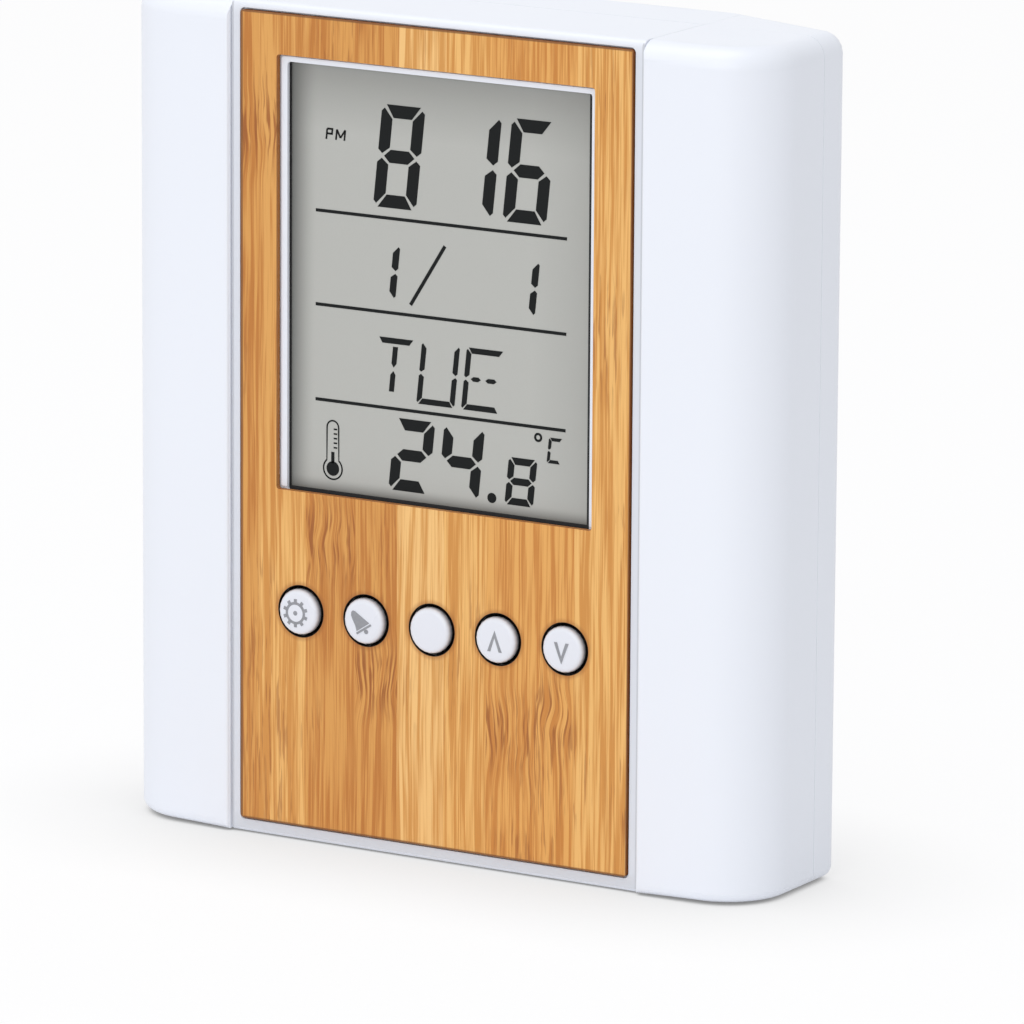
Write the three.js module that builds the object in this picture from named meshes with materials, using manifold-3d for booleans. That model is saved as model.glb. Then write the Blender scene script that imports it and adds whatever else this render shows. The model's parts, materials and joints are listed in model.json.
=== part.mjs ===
// Desk clock with two pull-out pen trays: a fixed clock body between two hollow wings.
// Millimetres, +X to the right of the display, +Y to the back, +Z up, base on Z 0.

import * as THREE from 'three';
import { mergeVertices } from 'three/addons/utils/BufferGeometryUtils.js';
import Module from 'manifold-3d';

const wasm = await Module();
wasm.setup();

// Overall body
const BODY_WIDTH = 92;
const BODY_HEIGHT = 105.1;
const BODY_DEPTH = 27;
const SIDE_DEPTH = 20.6;
const REAR_FLAT_WIDTH = 55.8;
const FRONT_CORNER_R = 8.5;
const REAR_CORNER_R = 2.5;
const REAR_BREAK_R = 10;
const WING_TOP_R = 2.7;
const CENTRE_TOP_R = 0.9;
const BASE_CHAMFER = 0.4;
const WALL = 1.8;
const REAR_WALL = 2;
const SIDE_WALL = 1.5;
const PARTING_DEPTH = 15;
const PARTING_GAP = 0.12;

// Fits
const FIT = 0.25;
const RUNNING_GAP = 0.4;
const EMBED = 0.4;
const OVERCUT = 5;

// Bamboo panel and bezel
const PANEL_WIDTH = 55.7;
const PANEL_THICKNESS = 0.8;
const PANEL_CORNER_R = 0.4;
const PANEL_SET_BACK = 0.5;
const BEZEL_BORDER = 1.2;
const BEZEL_HEAD = 1;
const BEZEL_FOOT = 1.55;
const BEZEL_SET_BACK = 0.75;
const PAN_THICKNESS = 1.25;

// Window and display
const WINDOW_WIDTH = 45.25;
const WINDOW_HEIGHT = 54.4;
const WINDOW_TOP_MARGIN = 5.1;
const WINDOW_CORNER_R = 0.4;
const RIM_WALL = 0.7;
const RIM_SET_BACK = 0.75;
const RIM_LIP = 0.2;
const RIM_SLOPE = 0.25;
const LCD_LEDGE = 0.45;
const LCD_LAP = 0.9;
const GLASS_THICKNESS = 1.1;

// Keys
const KEY_COUNT = 5;
const KEY_PITCH = 9.5;
const KEY_DROP = 23.6;
const KEY_HOLE_R = 3.3;
const KEY_CAP_R = 2.9;
const KEY_PROUD = 0.5;
const KEY_DOME = 0.12;
const KEY_EDGE_R = 0.35;
const KEY_FLANGE_R = 3.8;
const KEY_FLANGE = 0.75;
const KEY_POST_R = 1.3;
const KEY_POST = 0.7;
const KEY_TRAVEL = 0.5;
const PLUNGER_R = 1.5;
const PLUNGER_LENGTH = 1.4;
const PLUNGER_ENTRY = 0.85;
const SWITCH_SIZE = 6;
const SWITCH_HEIGHT = 2;

// Circuit board and what it carries
const PCB_WIDTH = 50;
const PCB_THICKNESS = 1.2;
const PCB_CORNER_R = 0.4;
const PCB_BOSS_GAP = 1.2;
const PCB_BEHIND_WINDOW = 15.7;
const PCB_HOLE_INSET = 2.5;
const COMPONENT_ROOM = 1.7;
const ZEBRA_HEIGHT = 2;
const ZEBRA_END_INSET = 2;
const CHIP_R = 4.5;
const CHIP_HEIGHT = 1.2;
const CRYSTAL_R = 1;
const CRYSTAL_LENGTH = 6;
const CRYSTAL_X = 14;
const THERMISTOR_R = 1.1;
const THERMISTOR_X = -12;
const BUZZER_R = 7;
const BUZZER_THICKNESS = 0.5;
const SOUND_SLOTS = 3;
const SOUND_SLOT_PITCH = 3.6;
const SOUND_SLOT_WIDTH = 9;
const SOUND_SLOT_HEIGHT = 1.5;

// Partition, trays and their channels
const PARTITION_THICKNESS = 1;
const PARTITION_RIB = 1.4;
const LCD_PAD = 4;
const LCD_PAD_X = 16;
const LCD_PAD_BELOW_TOP = 8;
const TRAY_WALL = 0.95;
const TRAY_REAR_GAP = 2;
const TRAY_FLOOR = 1.2;
const TRAY_HEADROOM = 1.3;
const TRAY_END_GAP = 0.7;
const TRAY_FLANGE = 1.4;
const RAIL_HEIGHT = 1.1;
const RAIL_WIDTH = 1;
const RAIL_INSET = 1;
const MOUTH_HEADROOM = 0.7;

// Wings
const WING_LIFT = 0.25;
const WING_GAP = 0.15;
const WING_EDGE_R = 0.4;
const PLATE_THICKNESS = 1.5;
const LIP_WIDTH = 0.75;
const LIP_HEIGHT = 0.8;
const RIB_WIDTH = 1.2;
const RIB_HEIGHT = 1;

// Battery compartment
const CELL_R = 5.25;
const CELL_LENGTH = 44.5;
const CELL_NUB = 1;
const CELL_NUB_R = 1.9;
const CELL_PLAY = 0.45;
const CELL_DOOR_GAP = 1.35;
const COMPARTMENT_WALL = 1.2;
const COMPARTMENT_LOW = 20;
const LEAF_ROOM = 5;
const STUD_ROOM = 1.4;
const CONTACT_THICKNESS = 0.4;
const CONTACT_WIDTH = 7;
const LEAF_SLANT = 0.8;
const DOOR_LEDGE = 0.8;
const DOOR_THICKNESS = 1.8;
const DOOR_PIN_R = 0.45;
const DOOR_PIN_REACH = 1;
const DOOR_SCOOP_R = 9;
const DOOR_SCOOP_DEPTH = 1.1;
const DOOR_SCOOP_WIDTH = 7;
const GRIP_GROOVES = 3;
const GRIP_PITCH = 1.8;
const GRIP_RISE = 2.2;
const GRIP_WIDTH = 8;
const GRIP_HEIGHT = 0.8;
const GRIP_DEPTH = 0.4;

// Screws and their bosses
const SCREW_R = 1.1;
const SCREW_TIP_R = 0.55;
const SCREW_HEAD_R = 2;
const SCREW_CROWN_R = 1.4;
const SCREW_HEAD = 1.2;
const SCREW_CROWN = 0.4;
const SCREW_LENGTH = 10;
const PCB_SCREW_LENGTH = 5;
const PCB_SCREW_HEAD = 0.85;
const SLOT_WIDTH = 0.6;
const SLOT_LENGTH = 2.2;
const SLOT_DEPTH = 0.55;
const PILOT_PLAY = 0.3;
const BOSS_WALL = 0.9;
const HEAD_SEAT = 5;
const TOP_SCREW_DROP = 5.6;
const LOW_SCREW_RISE = 10.5;
const WING_SCREW_X = 38;
const WING_SCREW_RISE = 14;
const WING_SCREW_DROP = 15;

// Facets
const FRONT_CORNER_STEPS = 12;
const REAR_CORNER_STEPS = 5;
const REAR_BREAK_STEPS = 4;
const FILLET_STEPS = 5;
const ROUND_STEPS = 24;
const SMALL_ROUND_STEPS = 12;
const LEAST_R = 0.05;
const WELD = 1e-4;

// Stations worked out from the sizes above, depths measured back from the front face
const BODY_HALF = BODY_WIDTH / 2;
const PILOT_R = SCREW_R + PILOT_PLAY;
const BOSS_R = PILOT_R + BOSS_WALL;
const COUNTERBORE_R = SCREW_HEAD_R + PILOT_PLAY;
const SEAT_BOSS_R = COUNTERBORE_R + BOSS_WALL;
const PANEL_LOW = BEZEL_FOOT + FIT;
const PANEL_HEIGHT = BODY_HEIGHT - BEZEL_HEAD - FIT - PANEL_LOW;
const PANEL_MID = PANEL_LOW + PANEL_HEIGHT / 2;
const CENTRE_HALF = PANEL_WIDTH / 2 + FIT + BEZEL_BORDER;
const CENTRE_INNER = CENTRE_HALF - SIDE_WALL;
const WING_INNER = CENTRE_HALF + WING_GAP;

const WINDOW_TOP = PANEL_LOW + PANEL_HEIGHT - WINDOW_TOP_MARGIN;
const WINDOW_LOW = WINDOW_TOP - WINDOW_HEIGHT;
const RIM_HALF = WINDOW_WIDTH / 2 - FIT;
const VIEW_HALF = RIM_HALF - RIM_WALL;
const VIEW_TOP = WINDOW_TOP - FIT - RIM_WALL;
const VIEW_LOW = WINDOW_LOW - FIT;

const PAN_FLOOR = PANEL_SET_BACK + PANEL_THICKNESS + FIT;
const PAN_BACK = PAN_FLOOR + PAN_THICKNESS;
const LCD_FACE = PAN_FLOOR + LCD_LEDGE + FIT;
const LCD_STEP = LCD_FACE + GLASS_THICKNESS;
const LCD_BACK = LCD_STEP + GLASS_THICKNESS;
const LCD_HALF = VIEW_HALF + LCD_LAP;
const LCD_TOP = VIEW_TOP + LCD_LAP;
const REAR_PANE_LOW = VIEW_LOW - LCD_LAP;
const LCD_LOW = REAR_PANE_LOW - ZEBRA_HEIGHT - 2 * FIT;

const KEY_ROW = PANEL_MID - KEY_DROP;
const KEY_FACE = PANEL_SET_BACK - KEY_PROUD;
const FLANGE_FACE = PAN_BACK + FIT;
const FLANGE_BACK = FLANGE_FACE + KEY_FLANGE;
const POST_END = FLANGE_BACK + KEY_POST;
const PLUNGER_FACE = POST_END + FIT;
const PLUNGER_END = PLUNGER_FACE + PLUNGER_LENGTH;
const SWITCH_FACE = PLUNGER_END - PLUNGER_ENTRY;
const SWITCH_BACK = SWITCH_FACE + SWITCH_HEIGHT;
const PIT_BOTTOM = PLUNGER_END + KEY_TRAVEL + FIT;
const PCB_FACE = SWITCH_BACK + FIT;
const PCB_BACK = PCB_FACE + PCB_THICKNESS;
const PCB_LOW = LOW_SCREW_RISE + BOSS_R + PCB_BOSS_GAP;
const PCB_TOP = WINDOW_LOW + PCB_BEHIND_WINDOW;

const PARTITION_FACE = PCB_BACK + COMPONENT_ROOM;
const PARTITION_BACK = PARTITION_FACE + PARTITION_THICKNESS;
const REAR_INNER = BODY_DEPTH - REAR_WALL;
const TRAY_FRONT = PARTITION_BACK + RUNNING_GAP;
const TRAY_REAR = REAR_INNER - TRAY_REAR_GAP;
const RAIL_TOP = WALL + RAIL_HEIGHT;
const TRAY_LOW = RAIL_TOP + RUNNING_GAP;
const TRAY_TOP = BODY_HEIGHT - TOP_SCREW_DROP - SEAT_BOSS_R - TRAY_HEADROOM;
const MOUTH_TOP = TRAY_TOP + MOUTH_HEADROOM;
const MOUTH_REAR = TRAY_REAR + RUNNING_GAP;

const DOOR_INNER = BODY_DEPTH - DOOR_THICKNESS;
const CELL_DEPTH = DOOR_INNER - CELL_DOOR_GAP - CELL_R;
const COMPARTMENT_FACE = CELL_DEPTH - CELL_R - CELL_PLAY;
const COLUMN_FACE = COMPARTMENT_FACE - COMPARTMENT_WALL;
const COMPARTMENT_HALF = CELL_R + CELL_PLAY;
const COLUMN_HALF = COMPARTMENT_HALF + COMPARTMENT_WALL;
const CELL_LOW = COMPARTMENT_LOW + LEAF_ROOM;
const CELL_TOP = CELL_LOW + CELL_LENGTH;
const COMPARTMENT_TOP = CELL_TOP + STUD_ROOM;
const COLUMN_LOW = COMPARTMENT_LOW - COMPARTMENT_WALL;
const COLUMN_TOP = COMPARTMENT_TOP + COMPARTMENT_WALL;
const TRAY_END = COLUMN_HALF + TRAY_END_GAP;

const PARTITION_TOP = BODY_HEIGHT - TOP_SCREW_DROP - BOSS_R - FIT;
const BUZZER_RISE = (COLUMN_TOP + PARTITION_TOP) / 2;

const DOORWAY_HALF = COMPARTMENT_HALF + DOOR_LEDGE;
const DOORWAY_LOW = COMPARTMENT_LOW - DOOR_LEDGE;
const DOORWAY_TOP = COMPARTMENT_TOP + DOOR_LEDGE;
const DOOR_HALF = DOORWAY_HALF - FIT;
const DOOR_AXIS_DEPTH = DOOR_INNER + DOOR_THICKNESS / 2;
const DOOR_AXIS_RISE = DOORWAY_TOP - FIT - DOOR_THICKNESS / 2;

const SEAT_DEPTH = PARTING_DEPTH + HEAD_SEAT;
const TOP_SCREW_X = LCD_HALF + FIT + BOSS_R;
const HOUSING_SCREWS = [
  [-TOP_SCREW_X, BODY_HEIGHT - TOP_SCREW_DROP],
  [TOP_SCREW_X, BODY_HEIGHT - TOP_SCREW_DROP],
  [0, LOW_SCREW_RISE],
];
const PCB_SCREW_X = PCB_WIDTH / 2 - PCB_HOLE_INSET;
const PCB_SCREW_LOW = PCB_LOW + PCB_HOLE_INSET + FIT;
const PCB_SCREW_HIGH = (KEY_ROW + SWITCH_SIZE / 2 + LCD_LOW) / 2;
const PCB_SCREWS = [
  [-PCB_SCREW_X, PCB_SCREW_LOW],
  [PCB_SCREW_X, PCB_SCREW_LOW],
  [-PCB_SCREW_X, PCB_SCREW_HIGH],
  [PCB_SCREW_X, PCB_SCREW_HIGH],
];
const WING_SCREW_ROWS = [WING_SCREW_RISE, BODY_HEIGHT - WING_SCREW_DROP];

// Surface finishes
const FINISH = {
  whiteAbs: { color: 0xeef1f8, roughness: 0.35, metalness: 0 },
  keyAbs: { color: 0xe9ecf0, roughness: 0.4, metalness: 0 },
  innerAbs: { color: 0xdfe2e8, roughness: 0.55, metalness: 0 },
  bamboo: { color: 0xd9a05c, roughness: 0.5, metalness: 0 },
  display: { color: 0xb2b5b0, roughness: 0.2, metalness: 0 },
  board: { color: 0x1f6b3a, roughness: 0.5, metalness: 0 },
  blackPart: { color: 0x18191b, roughness: 0.5, metalness: 0 },
  rubber: { color: 0x2a2a2c, roughness: 0.8, metalness: 0 },
  steel: { color: 0xb9bcc0, roughness: 0.3, metalness: 1 },
  brass: { color: 0xc9a64a, roughness: 0.35, metalness: 1 },
  cellJacket: { color: 0x3b4a6b, roughness: 0.35, metalness: 0 },
};

// Basic solids

function solid(geometry) {
  geometry.deleteAttribute('normal');
  geometry.deleteAttribute('uv');
  const merged = mergeVertices(geometry, WELD);
  return new wasm.Manifold(new wasm.Mesh({
    numProp: 3,
    vertProperties: new Float32Array(merged.attributes.position.array),
    triVerts: new Uint32Array(merged.index.array),
  }));
}

function box(x, depth, z) {
  const geometry = new THREE.BoxGeometry(x[1] - x[0], depth[1] - depth[0], z[1] - z[0]);
  geometry.translate((x[0] + x[1]) / 2, (depth[0] + depth[1]) / 2, (z[0] + z[1]) / 2);
  return solid(geometry);
}

// A box on one side of the middle plane; side is 1 on the right and -1 on the left.
function sideBox(side, x, depth, z) {
  const ends = side > 0 ? x : [-x[1], -x[0]];
  return box(ends, depth, z);
}

// A round bar along the depth.
function bar(at, depth, radius, steps = SMALL_ROUND_STEPS) {
  const geometry = new THREE.CylinderGeometry(radius, radius, depth[1] - depth[0], steps);
  geometry.translate(at[0], (depth[0] + depth[1]) / 2, at[1]);
  return solid(geometry);
}

// A round bar across the width.
function crossBar(x, depth, rise, radius, steps = SMALL_ROUND_STEPS) {
  const geometry = new THREE.CylinderGeometry(radius, radius, x[1] - x[0], steps);
  geometry.rotateZ(Math.PI / 2);
  geometry.translate((x[0] + x[1]) / 2, depth, rise);
  return solid(geometry);
}

// A round bar standing upright through the whole height.
function uprightBar(x, depth, radius, steps = ROUND_STEPS) {
  const geometry = new THREE.CylinderGeometry(radius, radius, BODY_HEIGHT + 2 * OVERCUT, steps);
  geometry.rotateX(Math.PI / 2);
  geometry.translate(x, depth, BODY_HEIGHT / 2);
  return solid(geometry);
}

// A turned piece about an axis along the depth; the profile holds [radius, depth] pairs.
function turned(profile, at, steps = ROUND_STEPS) {
  const points = profile.map(([radius, depth]) => new THREE.Vector2(radius, depth));
  const geometry = new THREE.LatheGeometry(points, steps);
  geometry.translate(at[0], 0, at[1]);
  return solid(geometry);
}

function roundedRectangle(path, half, low, high, radius) {
  path.moveTo(-half + radius, low);
  path.lineTo(half - radius, low);
  path.absarc(half - radius, low + radius, radius, -Math.PI / 2, 0);
  path.lineTo(half, high - radius);
  path.absarc(half - radius, high - radius, radius, 0, Math.PI / 2);
  path.lineTo(-half + radius, high);
  path.absarc(-half + radius, high - radius, radius, Math.PI / 2, Math.PI);
  path.lineTo(-half, low + radius);
  path.absarc(-half + radius, low + radius, radius, Math.PI, 1.5 * Math.PI);
  return path;
}

// A flat piece with its outline in the front view.
function plate(shape, depth, curveSegments = 4) {
  const thickness = depth[1] - depth[0];
  const geometry = new THREE.ExtrudeGeometry(shape, { depth: thickness, bevelEnabled: false, curveSegments });
  geometry.rotateX(Math.PI / 2);
  geometry.translate(0, depth[1], 0);
  return solid(geometry);
}

// The body's plan outline, drawn in by an inset, with the same number of points at every inset.
const PLAN_CORNERS = [
  { at: [-BODY_HALF, 0], radius: FRONT_CORNER_R, steps: FRONT_CORNER_STEPS },
  { at: [BODY_HALF, 0], radius: FRONT_CORNER_R, steps: FRONT_CORNER_STEPS },
  { at: [BODY_HALF, SIDE_DEPTH], radius: REAR_CORNER_R, steps: REAR_CORNER_STEPS },
  { at: [REAR_FLAT_WIDTH / 2, BODY_DEPTH], radius: REAR_BREAK_R, steps: REAR_BREAK_STEPS },
  { at: [-REAR_FLAT_WIDTH / 2, BODY_DEPTH], radius: REAR_BREAK_R, steps: REAR_BREAK_STEPS },
  { at: [-BODY_HALF, SIDE_DEPTH], radius: REAR_CORNER_R, steps: REAR_CORNER_STEPS },
];

function planOutline(inset) {
  const count = PLAN_CORNERS.length;
  const corners = PLAN_CORNERS.map((corner) => new THREE.Vector2(...corner.at));
  const inward = corners.map((corner, i) => {
    const run = corners[(i + 1) % count].clone().sub(corner).normalize();
    return new THREE.Vector2(-run.y, run.x);
  });
  const points = [];
  PLAN_CORNERS.forEach(({ radius, steps }, i) => {
    const before = inward[(i + count - 1) % count];
    const after = inward[i];
    const rounding = Math.max(radius - inset, LEAST_R);
    const pull = (inset + rounding) / (1 + before.dot(after));
    const centre = corners[i].clone().addScaledVector(before, pull).addScaledVector(after, pull);
    const start = Math.atan2(-before.y, -before.x);
    const turn = Math.acos(THREE.MathUtils.clamp(before.dot(after), -1, 1));
    for (let step = 0; step <= steps; step += 1) {
      const angle = start + (turn * step) / steps;
      points.push([centre.x + rounding * Math.cos(angle), centre.y + rounding * Math.sin(angle)]);
    }
  });
  return points;
}

// The whole body as one loft: chamfered foot, straight walls and a rounded top edge.
function bodyLoft({ inset = 0, low = 0, high = BODY_HEIGHT, topRadius, chamfer = 0 }) {
  const levels = [];
  if (chamfer > 0) {
    levels.push([low, inset + chamfer]);
  }
  levels.push([low + chamfer, inset]);
  for (let step = 0; step <= FILLET_STEPS; step += 1) {
    const angle = (step / FILLET_STEPS) * (Math.PI / 2);
    const rise = high - topRadius + topRadius * Math.sin(angle);
    levels.push([rise, inset + topRadius * (1 - Math.cos(angle))]);
  }
  const rings = levels.map(([rise, drawnIn]) => planOutline(drawnIn).map(([x, y]) => [x, y, rise]));
  const count = rings[0].length;
  const positions = rings.flat(2);
  const indices = [];
  for (let level = 0; level + 1 < rings.length; level += 1) {
    for (let i = 0; i < count; i += 1) {
      const next = (i + 1) % count;
      const a = level * count + i;
      const b = level * count + next;
      indices.push(a, b, a + count, b, b + count, a + count);
    }
  }
  const last = (rings.length - 1) * count;
  for (let i = 1; i + 1 < count; i += 1) {
    indices.push(0, i + 1, i);
    indices.push(last, last + i, last + i + 1);
  }
  const geometry = new THREE.BufferGeometry();
  geometry.setAttribute('position', new THREE.Float32BufferAttribute(positions, 3));
  geometry.setIndex(indices);
  return solid(geometry);
}

const ALL_HEIGHT = [-OVERCUT, BODY_HEIGHT + OVERCUT];
const ALL_DEPTH = [-OVERCUT, BODY_DEPTH + OVERCUT];
const FRONT_HALF = [-OVERCUT, PARTING_DEPTH - PARTING_GAP / 2];
const REAR_HALF = [PARTING_DEPTH + PARTING_GAP / 2, BODY_DEPTH + OVERCUT];

const centreFront = bodyLoft({ topRadius: CENTRE_TOP_R, chamfer: BASE_CHAMFER })
  .translate([0, BEZEL_SET_BACK, 0])
  .intersect(box([-CENTRE_HALF, CENTRE_HALF], FRONT_HALF, ALL_HEIGHT));
const centreRear = bodyLoft({ topRadius: WING_TOP_R, chamfer: BASE_CHAMFER })
  .intersect(box([-CENTRE_HALF, CENTRE_HALF], REAR_HALF, ALL_HEIGHT));
const wingBody = bodyLoft({ low: WING_LIFT, topRadius: WING_TOP_R, chamfer: BASE_CHAMFER });

// The wing's hollow at a given inset from its outside.
function wingHollow(inset) {
  return bodyLoft({
    inset,
    low: WING_LIFT + inset,
    high: BODY_HEIGHT - inset,
    topRadius: Math.max(WING_TOP_R - inset, BASE_CHAMFER),
  });
}

// The two side mouths that the pen trays run through.
function cutMouths(piece) {
  const across = [CENTRE_INNER - EMBED, CENTRE_HALF + OVERCUT];
  const depth = [PARTITION_BACK, MOUTH_REAR];
  const rise = [RAIL_TOP, MOUTH_TOP];
  return piece.subtract(sideBox(-1, across, depth, rise)).subtract(sideBox(1, across, depth, rise));
}

function rail(depth) {
  const run = CENTRE_INNER + EMBED;
  return box([-run, run], [depth, depth + RAIL_WIDTH], [WALL - EMBED, RAIL_TOP]);
}

const group = new THREE.Group();
const clock = new THREE.Group();
clock.position.y = -BODY_DEPTH / 2;
group.add(clock);

function addPiece(name, piece, finish) {
  const { vertProperties, triVerts } = piece.getMesh();
  const geometry = new THREE.BufferGeometry();
  geometry.setAttribute('position', new THREE.BufferAttribute(vertProperties, 3));
  geometry.setIndex(new THREE.BufferAttribute(triVerts, 1));
  geometry.computeVertexNormals();
  const mesh = new THREE.Mesh(geometry, new THREE.MeshStandardMaterial(FINISH[finish]));
  mesh.name = name;
  clock.add(mesh);
}

const keyPlaces = Array.from({ length: KEY_COUNT }, (_, i) => {
  const fromMiddle = i - (KEY_COUNT - 1) / 2;
  return [fromMiddle * KEY_PITCH, KEY_ROW];
});

// The view through the window rim: straight at the back, opening to the front on three sides.
// Step 0 is the back edge of the slope and step 1 its front edge; the cutter runs one step past both.
function windowView() {
  const pastBack = -1;
  const pastFront = 2;
  const slopeEnd = PANEL_SET_BACK + RIM_SET_BACK + RIM_SLOPE;
  const spread = RIM_WALL - RIM_LIP;
  const corners = (step) => {
    const depth = slopeEnd - step * RIM_SLOPE;
    const half = VIEW_HALF + step * spread;
    const top = VIEW_TOP + step * spread;
    return [
      [-half, depth, WINDOW_LOW],
      [half, depth, WINDOW_LOW],
      [half, depth, top],
      [-half, depth, top],
    ];
  };
  const flare = wasm.Manifold.hull([...corners(pastFront), ...corners(pastBack)]);
  const straight = plate(
    roundedRectangle(new THREE.Shape(), VIEW_HALF, VIEW_LOW, VIEW_TOP, WINDOW_CORNER_R),
    [-OVERCUT, PAN_BACK + OVERCUT],
  );
  return straight.add(flare);
}

// Centre front: bezel, pan behind the panel, bosses and the front of the tray channels.
// The window rim runs round three sides; the view opens under the panel at the bottom.
function frontHousing() {
  const cavity = box(
    [-CENTRE_INNER, CENTRE_INNER],
    [PAN_BACK, BODY_DEPTH],
    [WALL, BODY_HEIGHT - WALL],
  );
  const recessOutline = roundedRectangle(
    new THREE.Shape(),
    PANEL_WIDTH / 2 + FIT,
    PANEL_LOW - FIT,
    PANEL_LOW + PANEL_HEIGHT + FIT,
    PANEL_CORNER_R + FIT,
  );
  recessOutline.holes.push(roundedRectangle(
    new THREE.Path(), RIM_HALF, WINDOW_LOW + FIT, WINDOW_TOP - FIT, WINDOW_CORNER_R,
  ));
  const rimTrim = box(
    [-WINDOW_WIDTH / 2, WINDOW_WIDTH / 2],
    [-OVERCUT, PANEL_SET_BACK + RIM_SET_BACK],
    [WINDOW_LOW, WINDOW_TOP],
  );
  const displayPocket = box(
    [-LCD_HALF - FIT, LCD_HALF + FIT],
    [PAN_FLOOR + LCD_LEDGE, PAN_BACK + EMBED],
    [LCD_LOW - FIT, LCD_TOP + FIT],
  );
  let piece = centreFront
    .subtract(cavity)
    .subtract(plate(recessOutline, [-OVERCUT, PAN_FLOOR]))
    .subtract(rimTrim)
    .subtract(displayPocket)
    .subtract(windowView());
  keyPlaces.forEach((at) => {
    piece = piece.subtract(bar(at, [-OVERCUT, PAN_BACK + EMBED], KEY_HOLE_R, ROUND_STEPS));
  });
  [-1, 1].forEach((side) => {
    piece = piece.add(sideBox(
      side,
      [CENTRE_INNER - PARTITION_RIB, CENTRE_INNER + EMBED],
      [PAN_BACK - EMBED, PARTITION_FACE - FIT],
      [WALL - EMBED, LCD_LOW],
    ));
  });
  HOUSING_SCREWS.forEach((at) => {
    piece = piece.add(bar(at, [PAN_BACK - EMBED, FRONT_HALF[1]], BOSS_R));
    piece = piece.subtract(bar(at, [SEAT_DEPTH - SCREW_LENGTH - FIT, PARTING_DEPTH + OVERCUT], PILOT_R));
  });
  PCB_SCREWS.forEach((at) => {
    piece = piece.add(bar(at, [PAN_BACK - EMBED, PCB_FACE - FIT], BOSS_R));
    piece = piece.subtract(bar(at, [PCB_BACK - PCB_SCREW_LENGTH, PCB_FACE], PILOT_R));
  });
  return cutMouths(piece.add(rail(PARTITION_BACK + RAIL_INSET)));
}

// A slot through the rear wall with round ends
function soundSlot(rise) {
  const radius = SOUND_SLOT_HEIGHT / 2;
  const outline = roundedRectangle(
    new THREE.Shape(), SOUND_SLOT_WIDTH / 2, rise - radius, rise + radius, radius,
  );
  return plate(outline, [REAR_INNER - EMBED, BODY_DEPTH + OVERCUT]);
}

// Centre back: rear wall, battery compartment, doorway and the rear of the tray channels
function rearHousing() {
  const cavity = box(
    [-CENTRE_INNER, CENTRE_INNER],
    [0, REAR_INNER],
    [WALL, BODY_HEIGHT - WALL],
  );
  const column = box(
    [-COLUMN_HALF, COLUMN_HALF],
    [COLUMN_FACE, REAR_INNER + EMBED],
    [COLUMN_LOW, COLUMN_TOP],
  );
  const compartment = box(
    [-COMPARTMENT_HALF, COMPARTMENT_HALF],
    [COMPARTMENT_FACE, BODY_DEPTH],
    [COMPARTMENT_LOW, COMPARTMENT_TOP],
  );
  const doorway = box(
    [-DOORWAY_HALF, DOORWAY_HALF],
    [DOOR_INNER - FIT, BODY_DEPTH + OVERCUT],
    [DOORWAY_LOW, DOORWAY_TOP],
  );
  const pinReach = DOOR_HALF + DOOR_PIN_REACH + FIT;
  const pinHole = crossBar([-pinReach, pinReach], DOOR_AXIS_DEPTH, DOOR_AXIS_RISE, DOOR_PIN_R + FIT);
  const scoop = crossBar(
    [-DOOR_SCOOP_WIDTH / 2, DOOR_SCOOP_WIDTH / 2],
    BODY_DEPTH + DOOR_SCOOP_R - DOOR_SCOOP_DEPTH,
    DOORWAY_LOW,
    DOOR_SCOOP_R,
    ROUND_STEPS,
  );
  let piece = centreRear.subtract(cavity).add(column);
  HOUSING_SCREWS.forEach((at) => {
    piece = piece.add(bar(at, [REAR_HALF[0], REAR_INNER + EMBED], SEAT_BOSS_R));
    piece = piece.subtract(bar(at, [SEAT_DEPTH, BODY_DEPTH + OVERCUT], COUNTERBORE_R));
    piece = piece.subtract(bar(at, [0, SEAT_DEPTH + EMBED], PILOT_R));
  });
  piece = piece.subtract(compartment).subtract(doorway).subtract(pinHole).subtract(scoop);
  for (let slot = 0; slot < SOUND_SLOTS; slot += 1) {
    piece = piece.subtract(soundSlot(BUZZER_RISE + (slot - (SOUND_SLOTS - 1) / 2) * SOUND_SLOT_PITCH));
  }
  return cutMouths(piece.add(rail(TRAY_REAR - RAIL_INSET - RAIL_WIDTH)));
}

function bambooPanel() {
  const outline = roundedRectangle(
    new THREE.Shape(), PANEL_WIDTH / 2, PANEL_LOW, PANEL_LOW + PANEL_HEIGHT, PANEL_CORNER_R,
  );
  outline.holes.push(roundedRectangle(
    new THREE.Path(), WINDOW_WIDTH / 2, WINDOW_LOW, WINDOW_TOP, WINDOW_CORNER_R,
  ));
  keyPlaces.forEach(([x, z]) => {
    outline.holes.push(new THREE.Path().absarc(x, z, KEY_HOLE_R, 0, 2 * Math.PI));
  });
  return plate(outline, [PANEL_SET_BACK, PANEL_SET_BACK + PANEL_THICKNESS], SMALL_ROUND_STEPS);
}

// Two bonded panes; the front one runs on downwards to carry the contact strip
function lcdGlass() {
  const frontPane = box([-LCD_HALF, LCD_HALF], [LCD_FACE, LCD_STEP], [LCD_LOW, LCD_TOP]);
  const rearPane = box([-LCD_HALF, LCD_HALF], [LCD_STEP, LCD_BACK], [REAR_PANE_LOW, LCD_TOP]);
  return frontPane.add(rearPane);
}

function zebraStrip() {
  const half = LCD_HALF - ZEBRA_END_INSET;
  const low = LCD_LOW + FIT;
  return box([-half, half], [LCD_STEP + FIT, PCB_FACE - FIT], [low, low + ZEBRA_HEIGHT]);
}

function mainPcb() {
  const shape = roundedRectangle(new THREE.Shape(), PCB_WIDTH / 2, PCB_LOW, PCB_TOP, PCB_CORNER_R);
  PCB_SCREWS.forEach(([x, z]) => {
    shape.holes.push(new THREE.Path().absarc(x, z, PILOT_R, 0, 2 * Math.PI));
  });
  return plate(shape, [PCB_FACE, PCB_BACK]);
}

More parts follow.
